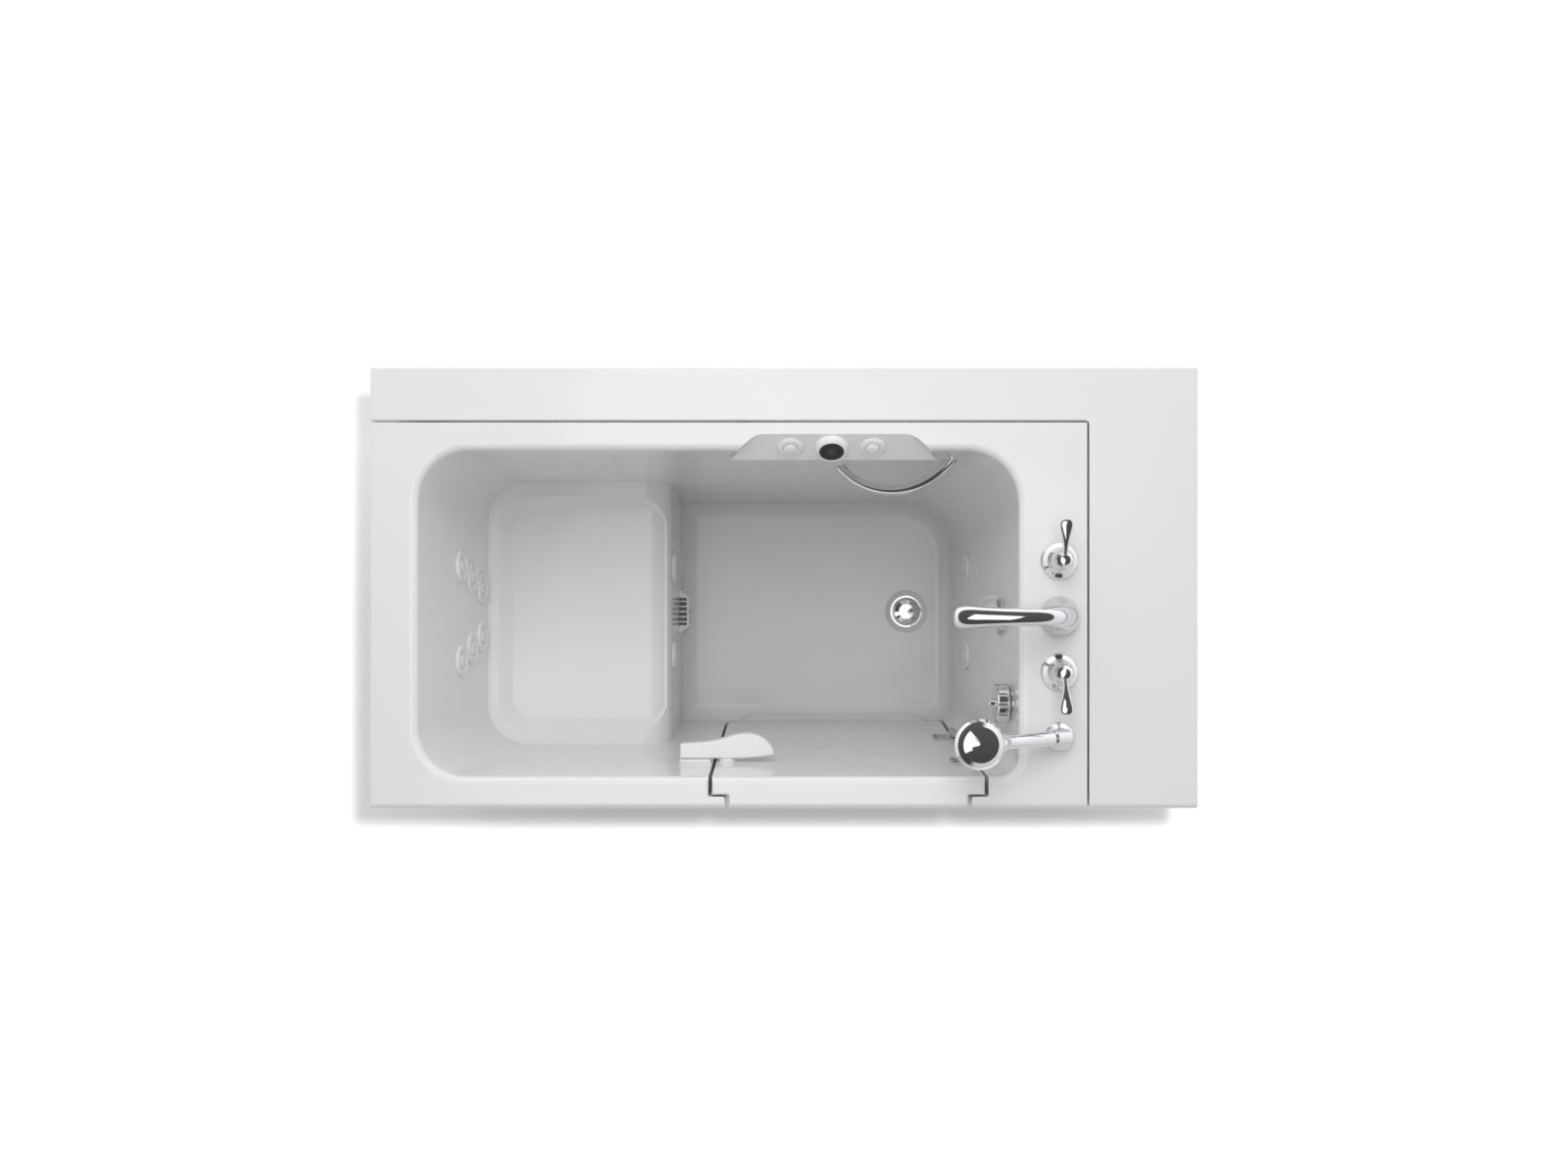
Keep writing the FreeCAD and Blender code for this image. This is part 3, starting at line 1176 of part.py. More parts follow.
def make_pipes():
    """Suction line to the pump and the pressure lines that feed the jets."""
    places = {entry[0]: entry for entry in jet_places()}
    inlet = (pump_x, pump_y - 60 - 39.3, pump_axis_z)
    start = (seat_front - acrylic - 50.3, suction_y, suction_z)
    turn_x = start[0] - 36
    turn_y = inlet[1] - 38
    suction = bent_pipe([start, (turn_x, suction_y, suction_z), (turn_x, turn_y, suction_z),
                         (pump_x, turn_y, pump_axis_z), inlet], suction_radius, 18)
    outlet = (pump_x + 50, pump_y - 25, pump_axis_z + 98.3)
    leg = [jet_back(places[f"leg_jet_{side}"]) for side in ("left", "right")]
    foot = [jet_back(places[f"foot_jet_{side}"]) for side in ("right", "left")]
    lower = {side: jet_back(places[f"back_jet_lower_{side}"]) for side in ("right", "left")}
    back_y = wall_y_back(rim_height - leg_jet_z) + acrylic + branch_radius + 4
    tee_z = leg_jet_z - pipe_radius - 3
    rail_x = lower["left"][0]
    riser = cylinder(pipe_radius, tee_z - deck_gap - outlet[2], outlet, (0, 0, 1))
    ring = bent_pipe([(leg[0][0], leg[0][1] - 30, leg_jet_z), (leg[0][0], back_y, leg_jet_z),
                      (foot[0][0], back_y, leg_jet_z), (foot[0][0], back_y, foot[0][2]),
                      (foot[1][0], foot[1][1] - 30, foot[1][2])], branch_radius, 26)
    header = fuse_all([
        cylinder(pipe_radius, leg[0][0] - branch_radius - deck_gap - rail_x, (rail_x, outlet[1], leg_jet_z),
                 (1, 0, 0)),
        cylinder(pipe_radius, 2 * pipe_radius, (outlet[0], outlet[1], tee_z), (0, 0, 1)),
        cylinder(pipe_radius, lower["right"][1] - lower["left"][1] + 2 * pipe_radius,
                 (rail_x, lower["left"][1] - pipe_radius, leg_jet_z), (0, 1, 0))])
    columns = []
    for side, end in lower.items():
        column = [jet_back(places[f"back_jet_{level}_{side}"]) for level in ("upper", "middle")]
        foot_end = (rail_x, end[1], leg_jet_z + pipe_radius + deck_gap)
        columns.append(bent_pipe(column + [end, foot_end], branch_radius, 12))
    return suction, [riser, ring, header] + columns


def make_air_hose():
    """Hose from the blower, up past the rim's height in a loop that keeps water out, and down to the header."""
    start = (blower_x + 80 + deck_gap, blower_y, rail_z + tube + 94)
    lower = [jet_back(entry) for entry in jet_places() if entry[0].startswith("back_jet_lower")]
    rail_x = lower[0][0]
    end_y = max(place[1] for place in lower) + pipe_radius + deck_gap
    turn_x = start[0] + 25
    up_y = basin_y + 190
    down_y = up_y + 50
    top = rim_height - 105
    return bent_pipe([start, (turn_x, blower_y, start[2]), (turn_x, up_y, start[2]), (rail_x, up_y, start[2]),
                      (rail_x, up_y, top), (rail_x, down_y, top), (rail_x, down_y, leg_jet_z),
                      (rail_x, end_y, leg_jet_z)], 12.5, 20)


# ---- waste and overflow ----
waste_radius = (rail_z - 2.0) / 2
waste_z = waste_radius + 1.0
waste_wall = 2.5
waste_bore = 10.5
waste_bend = 30.0
waste_stub = 60.0            # straight end that the building's branch is clamped on
overflow_pipe = 14.0
tee_x = frame_right - tube - waste_radius - 1.5
outlet_x = (x_right + x_end) / 2


def waste_run(radius, over):
    """From the tee under the side rail and round towards the wall; over is added at the open end."""
    turn = Vector(outlet_x - waste_bend, drain_y + waste_bend, waste_z)
    ring = Part.makeCircle(radius, Vector(turn.x, drain_y, waste_z), Vector(1, 0, 0))
    elbow = Part.Face(Part.Wire(ring)).revolve(turn, Vector(0, 0, 1), 90)
    return [cylinder(radius, turn.x - tee_x, (tee_x, drain_y, waste_z), (1, 0, 0)), elbow,
            cylinder(radius, waste_stub + over, (outlet_x, turn.y, waste_z), (0, 1, 0))]


def make_waste():
    """Drain shoe under the floor, tee, outlet pipe, and the riser that comes down from the overflow."""
    tail_z = sump_z - drain_tail
    cup = revolve([(0, 1.5), (27, 1.5), (27, tail_z + 8), (tail_radius + deck_gap, tail_z + 8),
                   (tail_radius + deck_gap, tail_z - deck_gap), (0, tail_z - deck_gap)], (drain_x, drain_y, 0))
    shoe = cylinder(waste_bore + waste_wall, tee_x - drain_x, (drain_x, drain_y, waste_z), (1, 0, 0))
    tee = cylinder(waste_radius, 60, (tee_x, drain_y, 1), (0, 0, 1))
    head_face = point_along(overflow_centre(), right_normal, -acrylic - deck_gap)
    away = tuple(-c for c in right_normal)
    head = cylinder(27, 16, head_face, away)
    start = point_along(head_face, away, 8)
    riser = bent_pipe([start, (tee_x, drain_y, start[2] + 2), (tee_x, drain_y, 40)], overflow_pipe, 24)
    ways = [cylinder(19, tail_z - 8, (drain_x, drain_y, 6), (0, 0, 1)),
            cylinder(waste_bore, tee_x - drain_x, (drain_x, drain_y, waste_z), (1, 0, 0))]
    ways += waste_run(waste_radius - waste_wall, 1)
    return fuse_all([cup, shoe, tee, head, riser] + waste_run(waste_radius, 0)).cut(ways)


def build():
    mould = make_mould()
    latch_face = (latch_x, wall_y_front(latch_depth), rim_height - latch_depth)
    latch_bore = cylinder(8.9, spindle_reach + 30, point_along(latch_face, front_normal, -spindle_reach - 1),
                          front_normal)
    leaf, panel = make_door(mould)
    keep("bath_shell", make_shell(mould))
    keep("door_leaf", leaf.cut(latch_bore))
    keep("door_outer_panel", panel)
    keep("door_seal", make_door_seal())
    keep("latch_lever", make_latch_lever())
    keep("latch_rosette", make_latch_rosette())
    keep("latch_strike", make_latch_strike())
    hinges = [make_hinge(depth, mould) for depth in hinge_depths]
    for name, pieces in zip(("hinge_frame_leaves", "hinge_door_leaves", "hinge_pins"), zip(*hinges)):
        keep(name, *pieces)
    keep("extension_deck", make_deck())
    keep("deck_stand", *make_deck_frame())
    front, right, left = make_deck_panels()
    keep("deck_front_panel", front)
    keep("deck_end_panels", right, left)
    keep("front_apron", make_front_apron())
    keep("left_end_panel", make_end_panel())
    pump_wet, pump_motor, pump_base, pump_bars = make_pump()
    blower, blower_tray = make_blower()
    keep("support_frame", *make_support_frame(), *pump_bars, blower_tray)
    keep("levelling_feet", *[levelling_foot(x, y) for x, y in foot_places()])
    keep("pump_wet_end", pump_wet)
    keep("pump_motor", pump_motor)
    keep("pump_base", pump_base)
    keep("air_blower", blower)
    suction, pressure = make_pipes()
    keep("suction_pipe", suction)
    keep("pressure_pipes", *pressure)
    keep("air_hose", make_air_hose())
    keep("waste_pipe", make_waste())
    bodies = []
    nuts = []
    for name, centre, normal in jet_places():
        keep(name, make_jet_face(centre, normal))
        body, nut = make_jet_body(centre, normal)
        bodies.append(body)
        nuts.append(nut)
    keep("jet_bodies", *bodies)
    keep("suction_cover", make_suction_cover())
    keep("suction_fitting", make_suction_fitting())
    drain, drain_nut = make_drain()
    keep("drain_body", drain)
    keep("drain_stopper", make_stopper())
    keep("drain_knob", make_drain_knob())
    knob_seat, knob_nut = make_knob_seat()
    keep("drain_knob_seat", knob_seat)
    keep("overflow_cover", make_overflow())
    keep("spout", make_spout())
    keep("tap_escutcheons", *[make_escutcheon(y) for y in (hot_y, cold_y)])
    keep("hot_lever", make_lever_handle(hot_y, -1))
    keep("cold_lever", make_lever_handle(cold_y, 1))
    keep("tap_valves", *[make_valve_body(y) for y in (hot_y, cold_y)])
    keep("tap_pipes", *make_tap_pipes())
    keep("shower_holder", make_shower_holder())
    keep("shower_handset", make_handset())
    bar, bar_nuts = make_grab_bar(mould)
    keep("grab_bar", bar)
    under_nuts = [deck_nut(hot_y, 26, 16.0), deck_nut(cold_y, 26, 16.0), deck_nut(spout_y, 24, 12.2),
                  deck_nut(shower_y, 24, 12.2)]
    keep("backing_nuts", drain_nut, knob_nut, *bar_nuts, *under_nuts, *nuts)
    keep("button_collars", *[make_button_collar(x) for x in button_xs])
    for name, x in zip(("pump", "air"), button_xs):
        keep(f"{name}_button", make_button(x))
    keep("button_switches", *[make_button_base(x) for x in button_xs])
    bezel, glass = make_display()
    keep("display_bezel", bezel)
    keep("display_glass", glass)


build()
os.makedirs("parts", exist_ok=True)
for node, shape in parts.items():
    shape.exportStep(f"parts/{node}.step")
print(len(parts), "parts")
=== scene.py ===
import bmesh
import bpy
import json
import math
import numpy as np
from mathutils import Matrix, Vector


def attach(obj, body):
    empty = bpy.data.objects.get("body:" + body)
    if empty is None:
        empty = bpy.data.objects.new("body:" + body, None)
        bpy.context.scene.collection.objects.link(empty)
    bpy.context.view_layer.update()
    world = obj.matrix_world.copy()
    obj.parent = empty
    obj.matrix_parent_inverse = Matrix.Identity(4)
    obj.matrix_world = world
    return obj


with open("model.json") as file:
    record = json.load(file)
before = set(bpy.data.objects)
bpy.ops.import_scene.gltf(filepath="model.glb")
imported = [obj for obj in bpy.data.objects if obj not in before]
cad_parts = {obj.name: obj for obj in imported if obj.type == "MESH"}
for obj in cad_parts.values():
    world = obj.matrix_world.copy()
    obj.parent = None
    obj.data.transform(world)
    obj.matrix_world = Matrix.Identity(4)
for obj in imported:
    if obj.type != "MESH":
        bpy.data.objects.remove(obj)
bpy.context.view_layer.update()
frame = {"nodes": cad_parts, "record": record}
nodes = frame["nodes"]
joints = {joint["name"]: joint for joint in frame["record"]["behaviour"]["joints"]}
millimetre = 0.001
print("frame loaded:", len(nodes), "nodes")


camera = {
    "height": 3.771,      # metres above the floor, straight over the middle of the footprint
    "lens": 35.0,         # mm, as is the sensor's width
    "sensor": 36.0,
    "farthest": 50.0,
}


def addCamera():
    data = bpy.data.cameras.new("camera")
    data.lens = camera["lens"]
    data.sensor_width = camera["sensor"]
    data.clip_end = camera["farthest"]
    item = bpy.data.objects.new("camera", data)
    item.location = (0.0, 0.0, camera["height"])
    bpy.context.scene.collection.objects.link(item)
    bpy.context.scene.camera = item


def raySeesBackdrop(tree):
    # 1 for camera, mirror and glass rays, 0 for the rays that light the object
    path = tree.nodes.new("ShaderNodeLightPath")
    seen = path.outputs["Is Camera Ray"]
    for kind in ("Is Glossy Ray", "Is Transmission Ray"):
        either = tree.nodes.new("ShaderNodeMath")
        either.operation = "MAXIMUM"
        tree.links.new(seen, either.inputs[0])
        tree.links.new(path.outputs[kind], either.inputs[1])
        seen = either.outputs[0]
    return seen


paleFloor = {
    "half": 14.0,         # metres, far past the view
    "tone": 0.45,         # as the floor lights the tub's sides
    "seen": 0.94,         # as the camera and polished metal see it, like white paper
    "lift": 0.03,
    "rough": 0.8,
    "specular": 0.1,
}


def addFloor():
    half = paleFloor["half"]
    mesh = bpy.data.meshes.new("floor")
    corners = [(-half, -half, 0.0), (half, -half, 0.0), (half, half, 0.0), (-half, half, 0.0)]
    mesh.from_pydata(corners, [], [(0, 1, 2, 3)])
    material, tree, shader = newFinish("paleFloor")
    shader.inputs["Roughness"].default_value = paleFloor["rough"]
    shader.inputs["Specular IOR Level"].default_value = paleFloor["specular"]
    seen = raySeesBackdrop(tree)
    grey = [(paleFloor[kind],) * 3 for kind in ("tone", "seen")]
    tree.links.new(blendColour(tree, seen, *grey), shader.inputs["Base Color"])
    glow = tree.nodes.new("ShaderNodeEmission")
    lift = tree.nodes.new("ShaderNodeMath")
    lift.operation = "MULTIPLY"
    lift.inputs[1].default_value = paleFloor["lift"]
    tree.links.new(seen, lift.inputs[0])
    tree.links.new(lift.outputs[0], glow.inputs["Strength"])
    both = tree.nodes.new("ShaderNodeAddShader")
    tree.links.new(shader.outputs[0], both.inputs[0])
    tree.links.new(glow.outputs[0], both.inputs[1])
    tree.links.new(both.outputs[0], tree.nodes["Material Output"].inputs["Surface"])
    mesh.materials.append(material)
    item = bpy.data.objects.new("floor", mesh)
    bpy.context.scene.collection.objects.link(item)
    return item


sky = {
    "light": (0.68, 0.20),          # sides and ceiling as they light the tub
    "seen": (1.0, 0.09),            # sides and dark ceiling as polished metal shows them
    "lean": 0.35,                   # how much brighter the sky is behind the tub than in front of it
    "lightEdge": (0.70, 0.86),      # height on the sky, 0 to 1, over which the sides turn into the ceiling
    "seenEdge": (0.46, 0.56),
}


def skyBand(tree, height, tones, edge):
    # strength of the sky over its height: sides, then ceiling
    ramp = tree.nodes.new("ShaderNodeMapRange")
    ramp.interpolation_type = "SMOOTHSTEP"
    for end, value in zip(("From Min", "From Max", "To Min", "To Max"), edge + tones):
        ramp.inputs[end].default_value = value
    tree.links.new(height, ramp.inputs["Value"])
    return ramp.outputs["Result"]


def addSky():
    world = bpy.data.worlds.new("studioSky")
    bpy.context.scene.world = world
    world.use_nodes = True
    tree = world.node_tree
    place = tree.nodes.new("ShaderNodeTexCoord")
    split = tree.nodes.new("ShaderNodeSeparateXYZ")
    tree.links.new(place.outputs["Generated"], split.inputs[0])
    height = split.outputs["Z"]
    bands = tree.nodes.new("ShaderNodeMix")
    tree.links.new(skyBand(tree, height, sky["light"], sky["lightEdge"]), bands.inputs["A"])
    tree.links.new(skyBand(tree, height, sky["seen"], sky["seenEdge"]), bands.inputs["B"])
    tree.links.new(raySeesBackdrop(tree), bands.inputs["Factor"])
    lean = tree.nodes.new("ShaderNodeMath")
    lean.operation = "MULTIPLY_ADD"
    lean.inputs[1].default_value = sky["lean"]
    lean.inputs[2].default_value = 1.0
    tree.links.new(split.outputs["Y"], lean.inputs[0])
    strength = tree.nodes.new("ShaderNodeMath")
    strength.operation = "MULTIPLY"
    tree.links.new(bands.outputs["Result"], strength.inputs[0])
    tree.links.new(lean.outputs[0], strength.inputs[1])
    back = tree.nodes["Background"]
    back.inputs["Color"].default_value = (1.0, 1.0, 1.0, 1.0)
    tree.links.new(strength.outputs[0], back.inputs["Strength"])


lamps = {
    # power in watts, place and side of the square in metres
    "floorLamp": (120.0, (0.17, 0.15, 3.9), 0.13),
    "backLamp": (47.0, (0.0, 1.6, 3.8), 2.0),
    "softBox": (18.0, (-0.08, -0.20, 4.3), 2.1),
}
lampAim = (0.0, 0.0, 0.8)


def addLamp(name):
    power, place, size = lamps[name]
    data = bpy.data.lights.new(name, "AREA")
    data.energy = power
    data.shape = "SQUARE"
    data.size = size
    item = bpy.data.objects.new(name, data)
    item.location = place
    item.rotation_mode = "QUATERNION"
    item.rotation_quaternion = (Vector(lampAim) - Vector(place)).to_track_quat("-Z", "Y")
    bpy.context.scene.collection.objects.link(item)
    return item


def addLamps(floor):
    # the small lamp lights the floor alone, to give the tub's shadow its edge; the others light everything
    floorOnly = bpy.data.collections.new("floorOnly")
    floorOnly.objects.link(floor)
    addLamp("floorLamp").light_linking.receiver_collection = floorOnly
    addLamp("backLamp").visible_glossy = False
    addLamp("softBox")


def newFinish(name):
    material = bpy.data.materials.new(name)
    material.use_nodes = True
    tree = material.node_tree
    return material, tree, tree.nodes["Principled BSDF"]


def objectNoise(tree, scale, detail, stretch=(1.0, 1.0, 1.0)):
    # noise on the object's own coordinates, in cells per metre
    place = tree.nodes.new("ShaderNodeTexCoord")
    fit = tree.nodes.new("ShaderNodeMapping")
    fit.inputs["Scale"].default_value = stretch
    noise = tree.nodes.new("ShaderNodeTexNoise")
    noise.inputs["Scale"].default_value = scale
    noise.inputs["Detail"].default_value = detail
    tree.links.new(place.outputs["Object"], fit.inputs["Vector"])
    tree.links.new(fit.outputs["Vector"], noise.inputs["Vector"])
    return noise.outputs["Fac"]


def rangeOf(tree, source, low, high, fromRange=(0.3, 0.7)):
    node = tree.nodes.new("ShaderNodeMapRange")
    for end, value in zip(("From Min", "From Max", "To Min", "To Max"), (*fromRange, low, high)):
        node.inputs[end].default_value = value
    tree.links.new(source, node.inputs["Value"])
    return node.outputs["Result"]


def blendColour(tree, source, first, second):
    mix = tree.nodes.new("ShaderNodeMix")
    mix.data_type = "RGBA"
    mix.inputs["A"].default_value = (*first, 1.0)
    mix.inputs["B"].default_value = (*second, 1.0)
    tree.links.new(source, mix.inputs["Factor"])
    return mix.outputs["Result"]


def paintAndGloss(tree, shader, clouds, marks, look):
    # the clouds blend tone into shade, the marks vary the roughness
    paint = blendColour(tree, rangeOf(tree, clouds, 0.0, 1.0), look["tone"], look["shade"])
    tree.links.new(paint, shader.inputs["Base Color"])
    gloss = rangeOf(tree, marks, *look["rough"], look.get("marksFrom", (0.3, 0.7)))
    tree.links.new(gloss, shader.inputs["Roughness"])


def addBump(tree, shader, source, height):
    # height in millimetres
    bump = tree.nodes.new("ShaderNodeBump")
    bump.inputs["Distance"].default_value = height * millimetre
    tree.links.new(source, bump.inputs["Height"])
    tree.links.new(bump.outputs["Normal"], shader.inputs["Normal"])


acrylic = {
    "tone": (0.830, 0.830, 0.828),
    "shade": (0.812, 0.813, 0.814),
    "rough": (0.16, 0.24),
    "clouds": 2.3,        # cells per metre, and so are the next two
    "wiping": 26.0,
    "wipingStretch": (1.0, 3.5, 1.0),
    "ripple": 9.0,
    "rippleHeight": 0.6,  # mm
    "refraction": 1.49,
    "coat": 0.3,
    "coatRough": 0.05,
}


def makeAcrylic():
    # cast sheet: faint clouding in tone, a very shallow long ripple, gloss broken by wiping marks
    material, tree, shader = newFinish("castAcrylic")
    clouds = objectNoise(tree, acrylic["clouds"], detail=3.0)
    wiping = objectNoise(tree, acrylic["wiping"], detail=5.0, stretch=acrylic["wipingStretch"])
    paintAndGloss(tree, shader, clouds, wiping, acrylic)
    addBump(tree, shader, objectNoise(tree, acrylic["ripple"], detail=1.0), acrylic["rippleHeight"])
    shader.inputs["IOR"].default_value = acrylic["refraction"]
    shader.inputs["Coat Weight"].default_value = acrylic["coat"]
    shader.inputs["Coat Roughness"].default_value = acrylic["coatRough"]
    return material


plastics = {
    # grain in cells per metre, relief in mm
    "whiteMoulding": {"tone": (0.86, 0.86, 0.85), "shade": (0.83, 0.83, 0.825), "rough": (0.22, 0.34),
                      "grain": 500.0, "relief": 0.04},
    "ivoryMoulding": {"tone": (0.83, 0.83, 0.815), "shade": (0.80, 0.80, 0.785), "rough": (0.25, 0.38),
                      "grain": 500.0, "relief": 0.04},
    "gasketRubber": {"tone": (0.16, 0.16, 0.165), "shade": (0.12, 0.12, 0.122), "rough": (0.6, 0.8),
                     "grain": 300.0, "relief": 0.1},
    "blackMoulding": {"tone": (0.03, 0.03, 0.032), "shade": (0.045, 0.045, 0.047), "rough": (0.45, 0.65),
                      "grain": 350.0, "relief": 0.2},
    "pipePlastic": {"tone": (0.78, 0.78, 0.76), "shade": (0.70, 0.70, 0.68), "rough": (0.35, 0.5),
                    "grain": 200.0, "relief": 0.1},
    "clearTube": {"tone": (0.74, 0.77, 0.78), "shade": (0.66, 0.69, 0.70), "rough": (0.25, 0.4),
                  "grain": 90.0, "relief": 0.2},
    "symbolGrey": {"tone": (0.22, 0.22, 0.23), "shade": (0.17, 0.17, 0.18), "rough": (0.35, 0.5),
                   "grain": 400.0, "relief": 0.02},
}
plasticClouds = 14.0


def makePlastic(name):
    # moulded plastic: even tone with a faint cloud and a fine moulded grain
    material, tree, shader = newFinish(name)
    look = plastics[name]
    grain = objectNoise(tree, look["grain"], detail=2.0)
    paintAndGloss(tree, shader, objectNoise(tree, plasticClouds, detail=2.0), grain, look)
    addBump(tree, shader, grain, look["relief"])
    return material


metals = {
    # streaks run across the largest stretch; relief in mm
    "brushedStainless": {"tone": (0.60, 0.60, 0.60), "shade": (0.50, 0.50, 0.51), "rough": (0.22, 0.38),
                         "stretch": (1.0, 1.0, 8.0), "relief": 0.05},
    "zincCoat": {"tone": (0.52, 0.54, 0.55), "shade": (0.38, 0.40, 0.42), "rough": (0.38, 0.6),
                 "stretch": (1.0, 1.0, 1.0), "relief": 0.1},
    "brightZinc": {"tone": (0.62, 0.62, 0.60), "shade": (0.5, 0.5, 0.5), "rough": (0.28, 0.45),
                   "stretch": (1.0, 1.0, 3.0), "relief": 0.05},
    "valveBrass": {"tone": (0.66, 0.50, 0.24), "shade": (0.52, 0.38, 0.17), "rough": (0.3, 0.5),
                   "stretch": (1.0, 1.0, 1.0), "relief": 0.1},
    "copperTube": {"tone": (0.66, 0.36, 0.24), "shade": (0.50, 0.27, 0.18), "rough": (0.25, 0.45),
                   "stretch": (1.0, 6.0, 1.0), "relief": 0.05},
}
metalStreaks = 60.0


def makeMetal(name):
    # brushed or coated metal: the same streaks set the gloss, the tone and a slight relief
    material, tree, shader = newFinish(name)
    look = metals[name]
    shader.inputs["Metallic"].default_value = 1.0
    streaks = objectNoise(tree, metalStreaks, detail=4.0, stretch=look["stretch"])
    paintAndGloss(tree, shader, streaks, streaks, look)
    addBump(tree, shader, streaks, look["relief"])
    return material


chromePlate = {
    "tone": (0.80, 0.81, 0.83),
    "shade": (0.74, 0.75, 0.77),
    "rough": (0.03, 0.10),
    "smudges": 38.0,
    "marksFrom": (0.45, 0.75),      # only the thick parts of the smudges dull the plate
}


def makeChrome():
    # polished plate over brass, with soft smudges that only change its gloss and, barely, its tone
    material, tree, shader = newFinish("polishedChrome")
    shader.inputs["Metallic"].default_value = 1.0
    smudges = objectNoise(tree, chromePlate["smudges"], detail=4.0)
    paintAndGloss(tree, shader, smudges, smudges, chromePlate)
    return material


enamel = {
    "tone": (0.022, 0.022, 0.024),
    "shade": (0.04, 0.04, 0.042),
    "rough": (0.3, 0.5),
    "dust": 11.0,
    "peel": 220.0,
    "peelHeight": 0.2,    # mm
}


def makeEnamel():
    # baked enamel: fine orange peel under a film of dust
    material, tree, shader = newFinish("blackEnamel")
    dust = objectNoise(tree, enamel["dust"], detail=4.0)
    paintAndGloss(tree, shader, dust, dust, enamel)
    addBump(tree, shader, objectNoise(tree, enamel["peel"], detail=2.0), enamel["peelHeight"])
    return material


lens = {
    "tone": (0.006, 0.006, 0.008),
    "shade": (0.012, 0.012, 0.015),
    "rough": (0.05, 0.14),
    "haze": 90.0,
}


def makeLens():
    material, tree, shader = newFinish("blackLens")
    haze = objectNoise(tree, lens["haze"], detail=3.0)
    paintAndGloss(tree, shader, haze, haze, lens)
    return material


finishes = {
    "white_acrylic": makeAcrylic(),
    "white_plastic": makePlastic("whiteMoulding"),
    "ivory_plastic": makePlastic("ivoryMoulding"),
    "grey_rubber": makePlastic("gasketRubber"),
    "black_plastic": makePlastic("blackMoulding"),
    "white_pvc": makePlastic("pipePlastic"),
    "clear_hose": makePlastic("clearTube"),
    "stainless": makeMetal("brushedStainless"),
    "galvanised_steel": makeMetal("zincCoat"),
    "zinc_steel": makeMetal("brightZinc"),
    "brass": makeMetal("valveBrass"),
    "copper": makeMetal("copperTube"),
    "chrome": makeChrome(),
    "black_enamel": makeEnamel(),
    "black_glass": makeLens(),
}


def dressNodes():
    for part in frame["record"]["subparts"]:
        item = nodes[part["node"]]
        item.data.materials.clear()
        item.data.materials.append(finishes[part["material_slot"]])


def mendPoles(mesh):
    # one point where a row of the grid has shrunk onto the axis
    work = bmesh.new()
    work.from_mesh(mesh)
    bmesh.ops.remove_doubles(work, verts=work.verts, dist=1e-7)
    work.to_mesh(mesh)
    work.free()


def addPiece(name, points, faces, body, slotName, finish=None):
    mesh = bpy.data.meshes.new(name)
    mesh.from_pydata(points.reshape(-1, 3).tolist(), [], faces.tolist())
    mendPoles(mesh)
    mesh.polygons.foreach_set("use_smooth", np.ones(len(mesh.polygons), dtype=bool))
    mesh.materials.append(finish or finishes[slotName])
    item = bpy.data.objects.new(name, mesh)
    bpy.context.scene.collection.objects.link(item)
    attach(item, body)


def gridFaces(rows, columns, closedRows=False):
    # quads of a grid of points, row by row; the columns go all the way round, and closed rows do too
    i, j = np.meshgrid(np.arange(rows if closedRows else rows - 1), np.arange(columns), indexing="ij")
    i = i.ravel()
    j = j.ravel()
    below = (i + 1) % rows
    ahead = (j + 1) % columns
    corners = [i * columns + j, i * columns + ahead, below * columns + ahead, below * columns + j]
    return np.stack(corners, axis=1)


def copies(points, faces, origins, across, along, outward):
    # the same small shape at many places; its axes go to across, along and outward
    turn = np.stack([across, along, outward])
    flat = points.reshape(-1, 3)
    placed = origins[:, None, :] + (flat @ turn)[None, :, :]
    shifted = faces[None, :, :] + (np.arange(len(origins)) * len(flat))[:, None, None]
    return placed.reshape(-1, 3), shifted.reshape(-1, faces.shape[1])


def turnedSurface(profile, around):
    # (radius, height) pairs carried round the axis: x = r cos a, y = r sin a, z = height
    angle = np.linspace(0.0, 2 * math.pi, around, endpoint=False)
    radius, height = (np.array(column)[:, None] for column in zip(*profile))
    return np.stack([radius * np.cos(angle), radius * np.sin(angle), height + 0.0 * angle], axis=2)


right, back, up = np.eye(3)

screw = {
    "head": 3.6,          # radius in mm, as are the heights, and the half width and reach of the cross
    "rise": 2.0,
    "recess": 1.1,
    "slotWide": 0.55,
    "slotLong": 2.1,
    "rings": 12,
    "around": 48,
}


def screwHead():
    # dome r(t) = head sin(t), z(t) = rise cos(t), sunk by a cross whose arms are where |x| or |y| is small
    t = np.linspace(0.0, math.pi / 2, screw["rings"])[:, None]
    angle = np.linspace(0.0, 2 * math.pi, screw["around"], endpoint=False)[None, :]
    x = screw["head"] * np.sin(t) * np.cos(angle)
    y = screw["head"] * np.sin(t) * np.sin(angle)
    z = screw["rise"] * np.cos(t) + 0.0 * angle
    arm = np.minimum(np.abs(x), np.abs(y)) < screw["slotWide"]
    inside = np.hypot(x, y) < screw["slotLong"]
    z = np.where(arm & inside, z - screw["recess"], z)
    return np.stack([x, y, z], axis=2) * millimetre, gridFaces(screw["rings"], screw["around"])[:, ::-1]


coverScrews = {
    "at": [(-0.2224, -0.055, 0.206), (-0.2224, -0.055, 0.120)],
}
hingeScrews = {
    "reach": 0.0405,      # metres from the hinge's axis to its screws, towards the jamb or the door
    "tops": (0.815, 0.455),
    "drops": (0.011, 0.036, 0.061),
    "rim": (-0.348, 0.965),         # y and z of the front wall at the rim
    "lean": 0.0325,       # how far the wall comes in for each metre of depth
    "plate": 0.0041,      # face of the hinge's plate above the wall
}


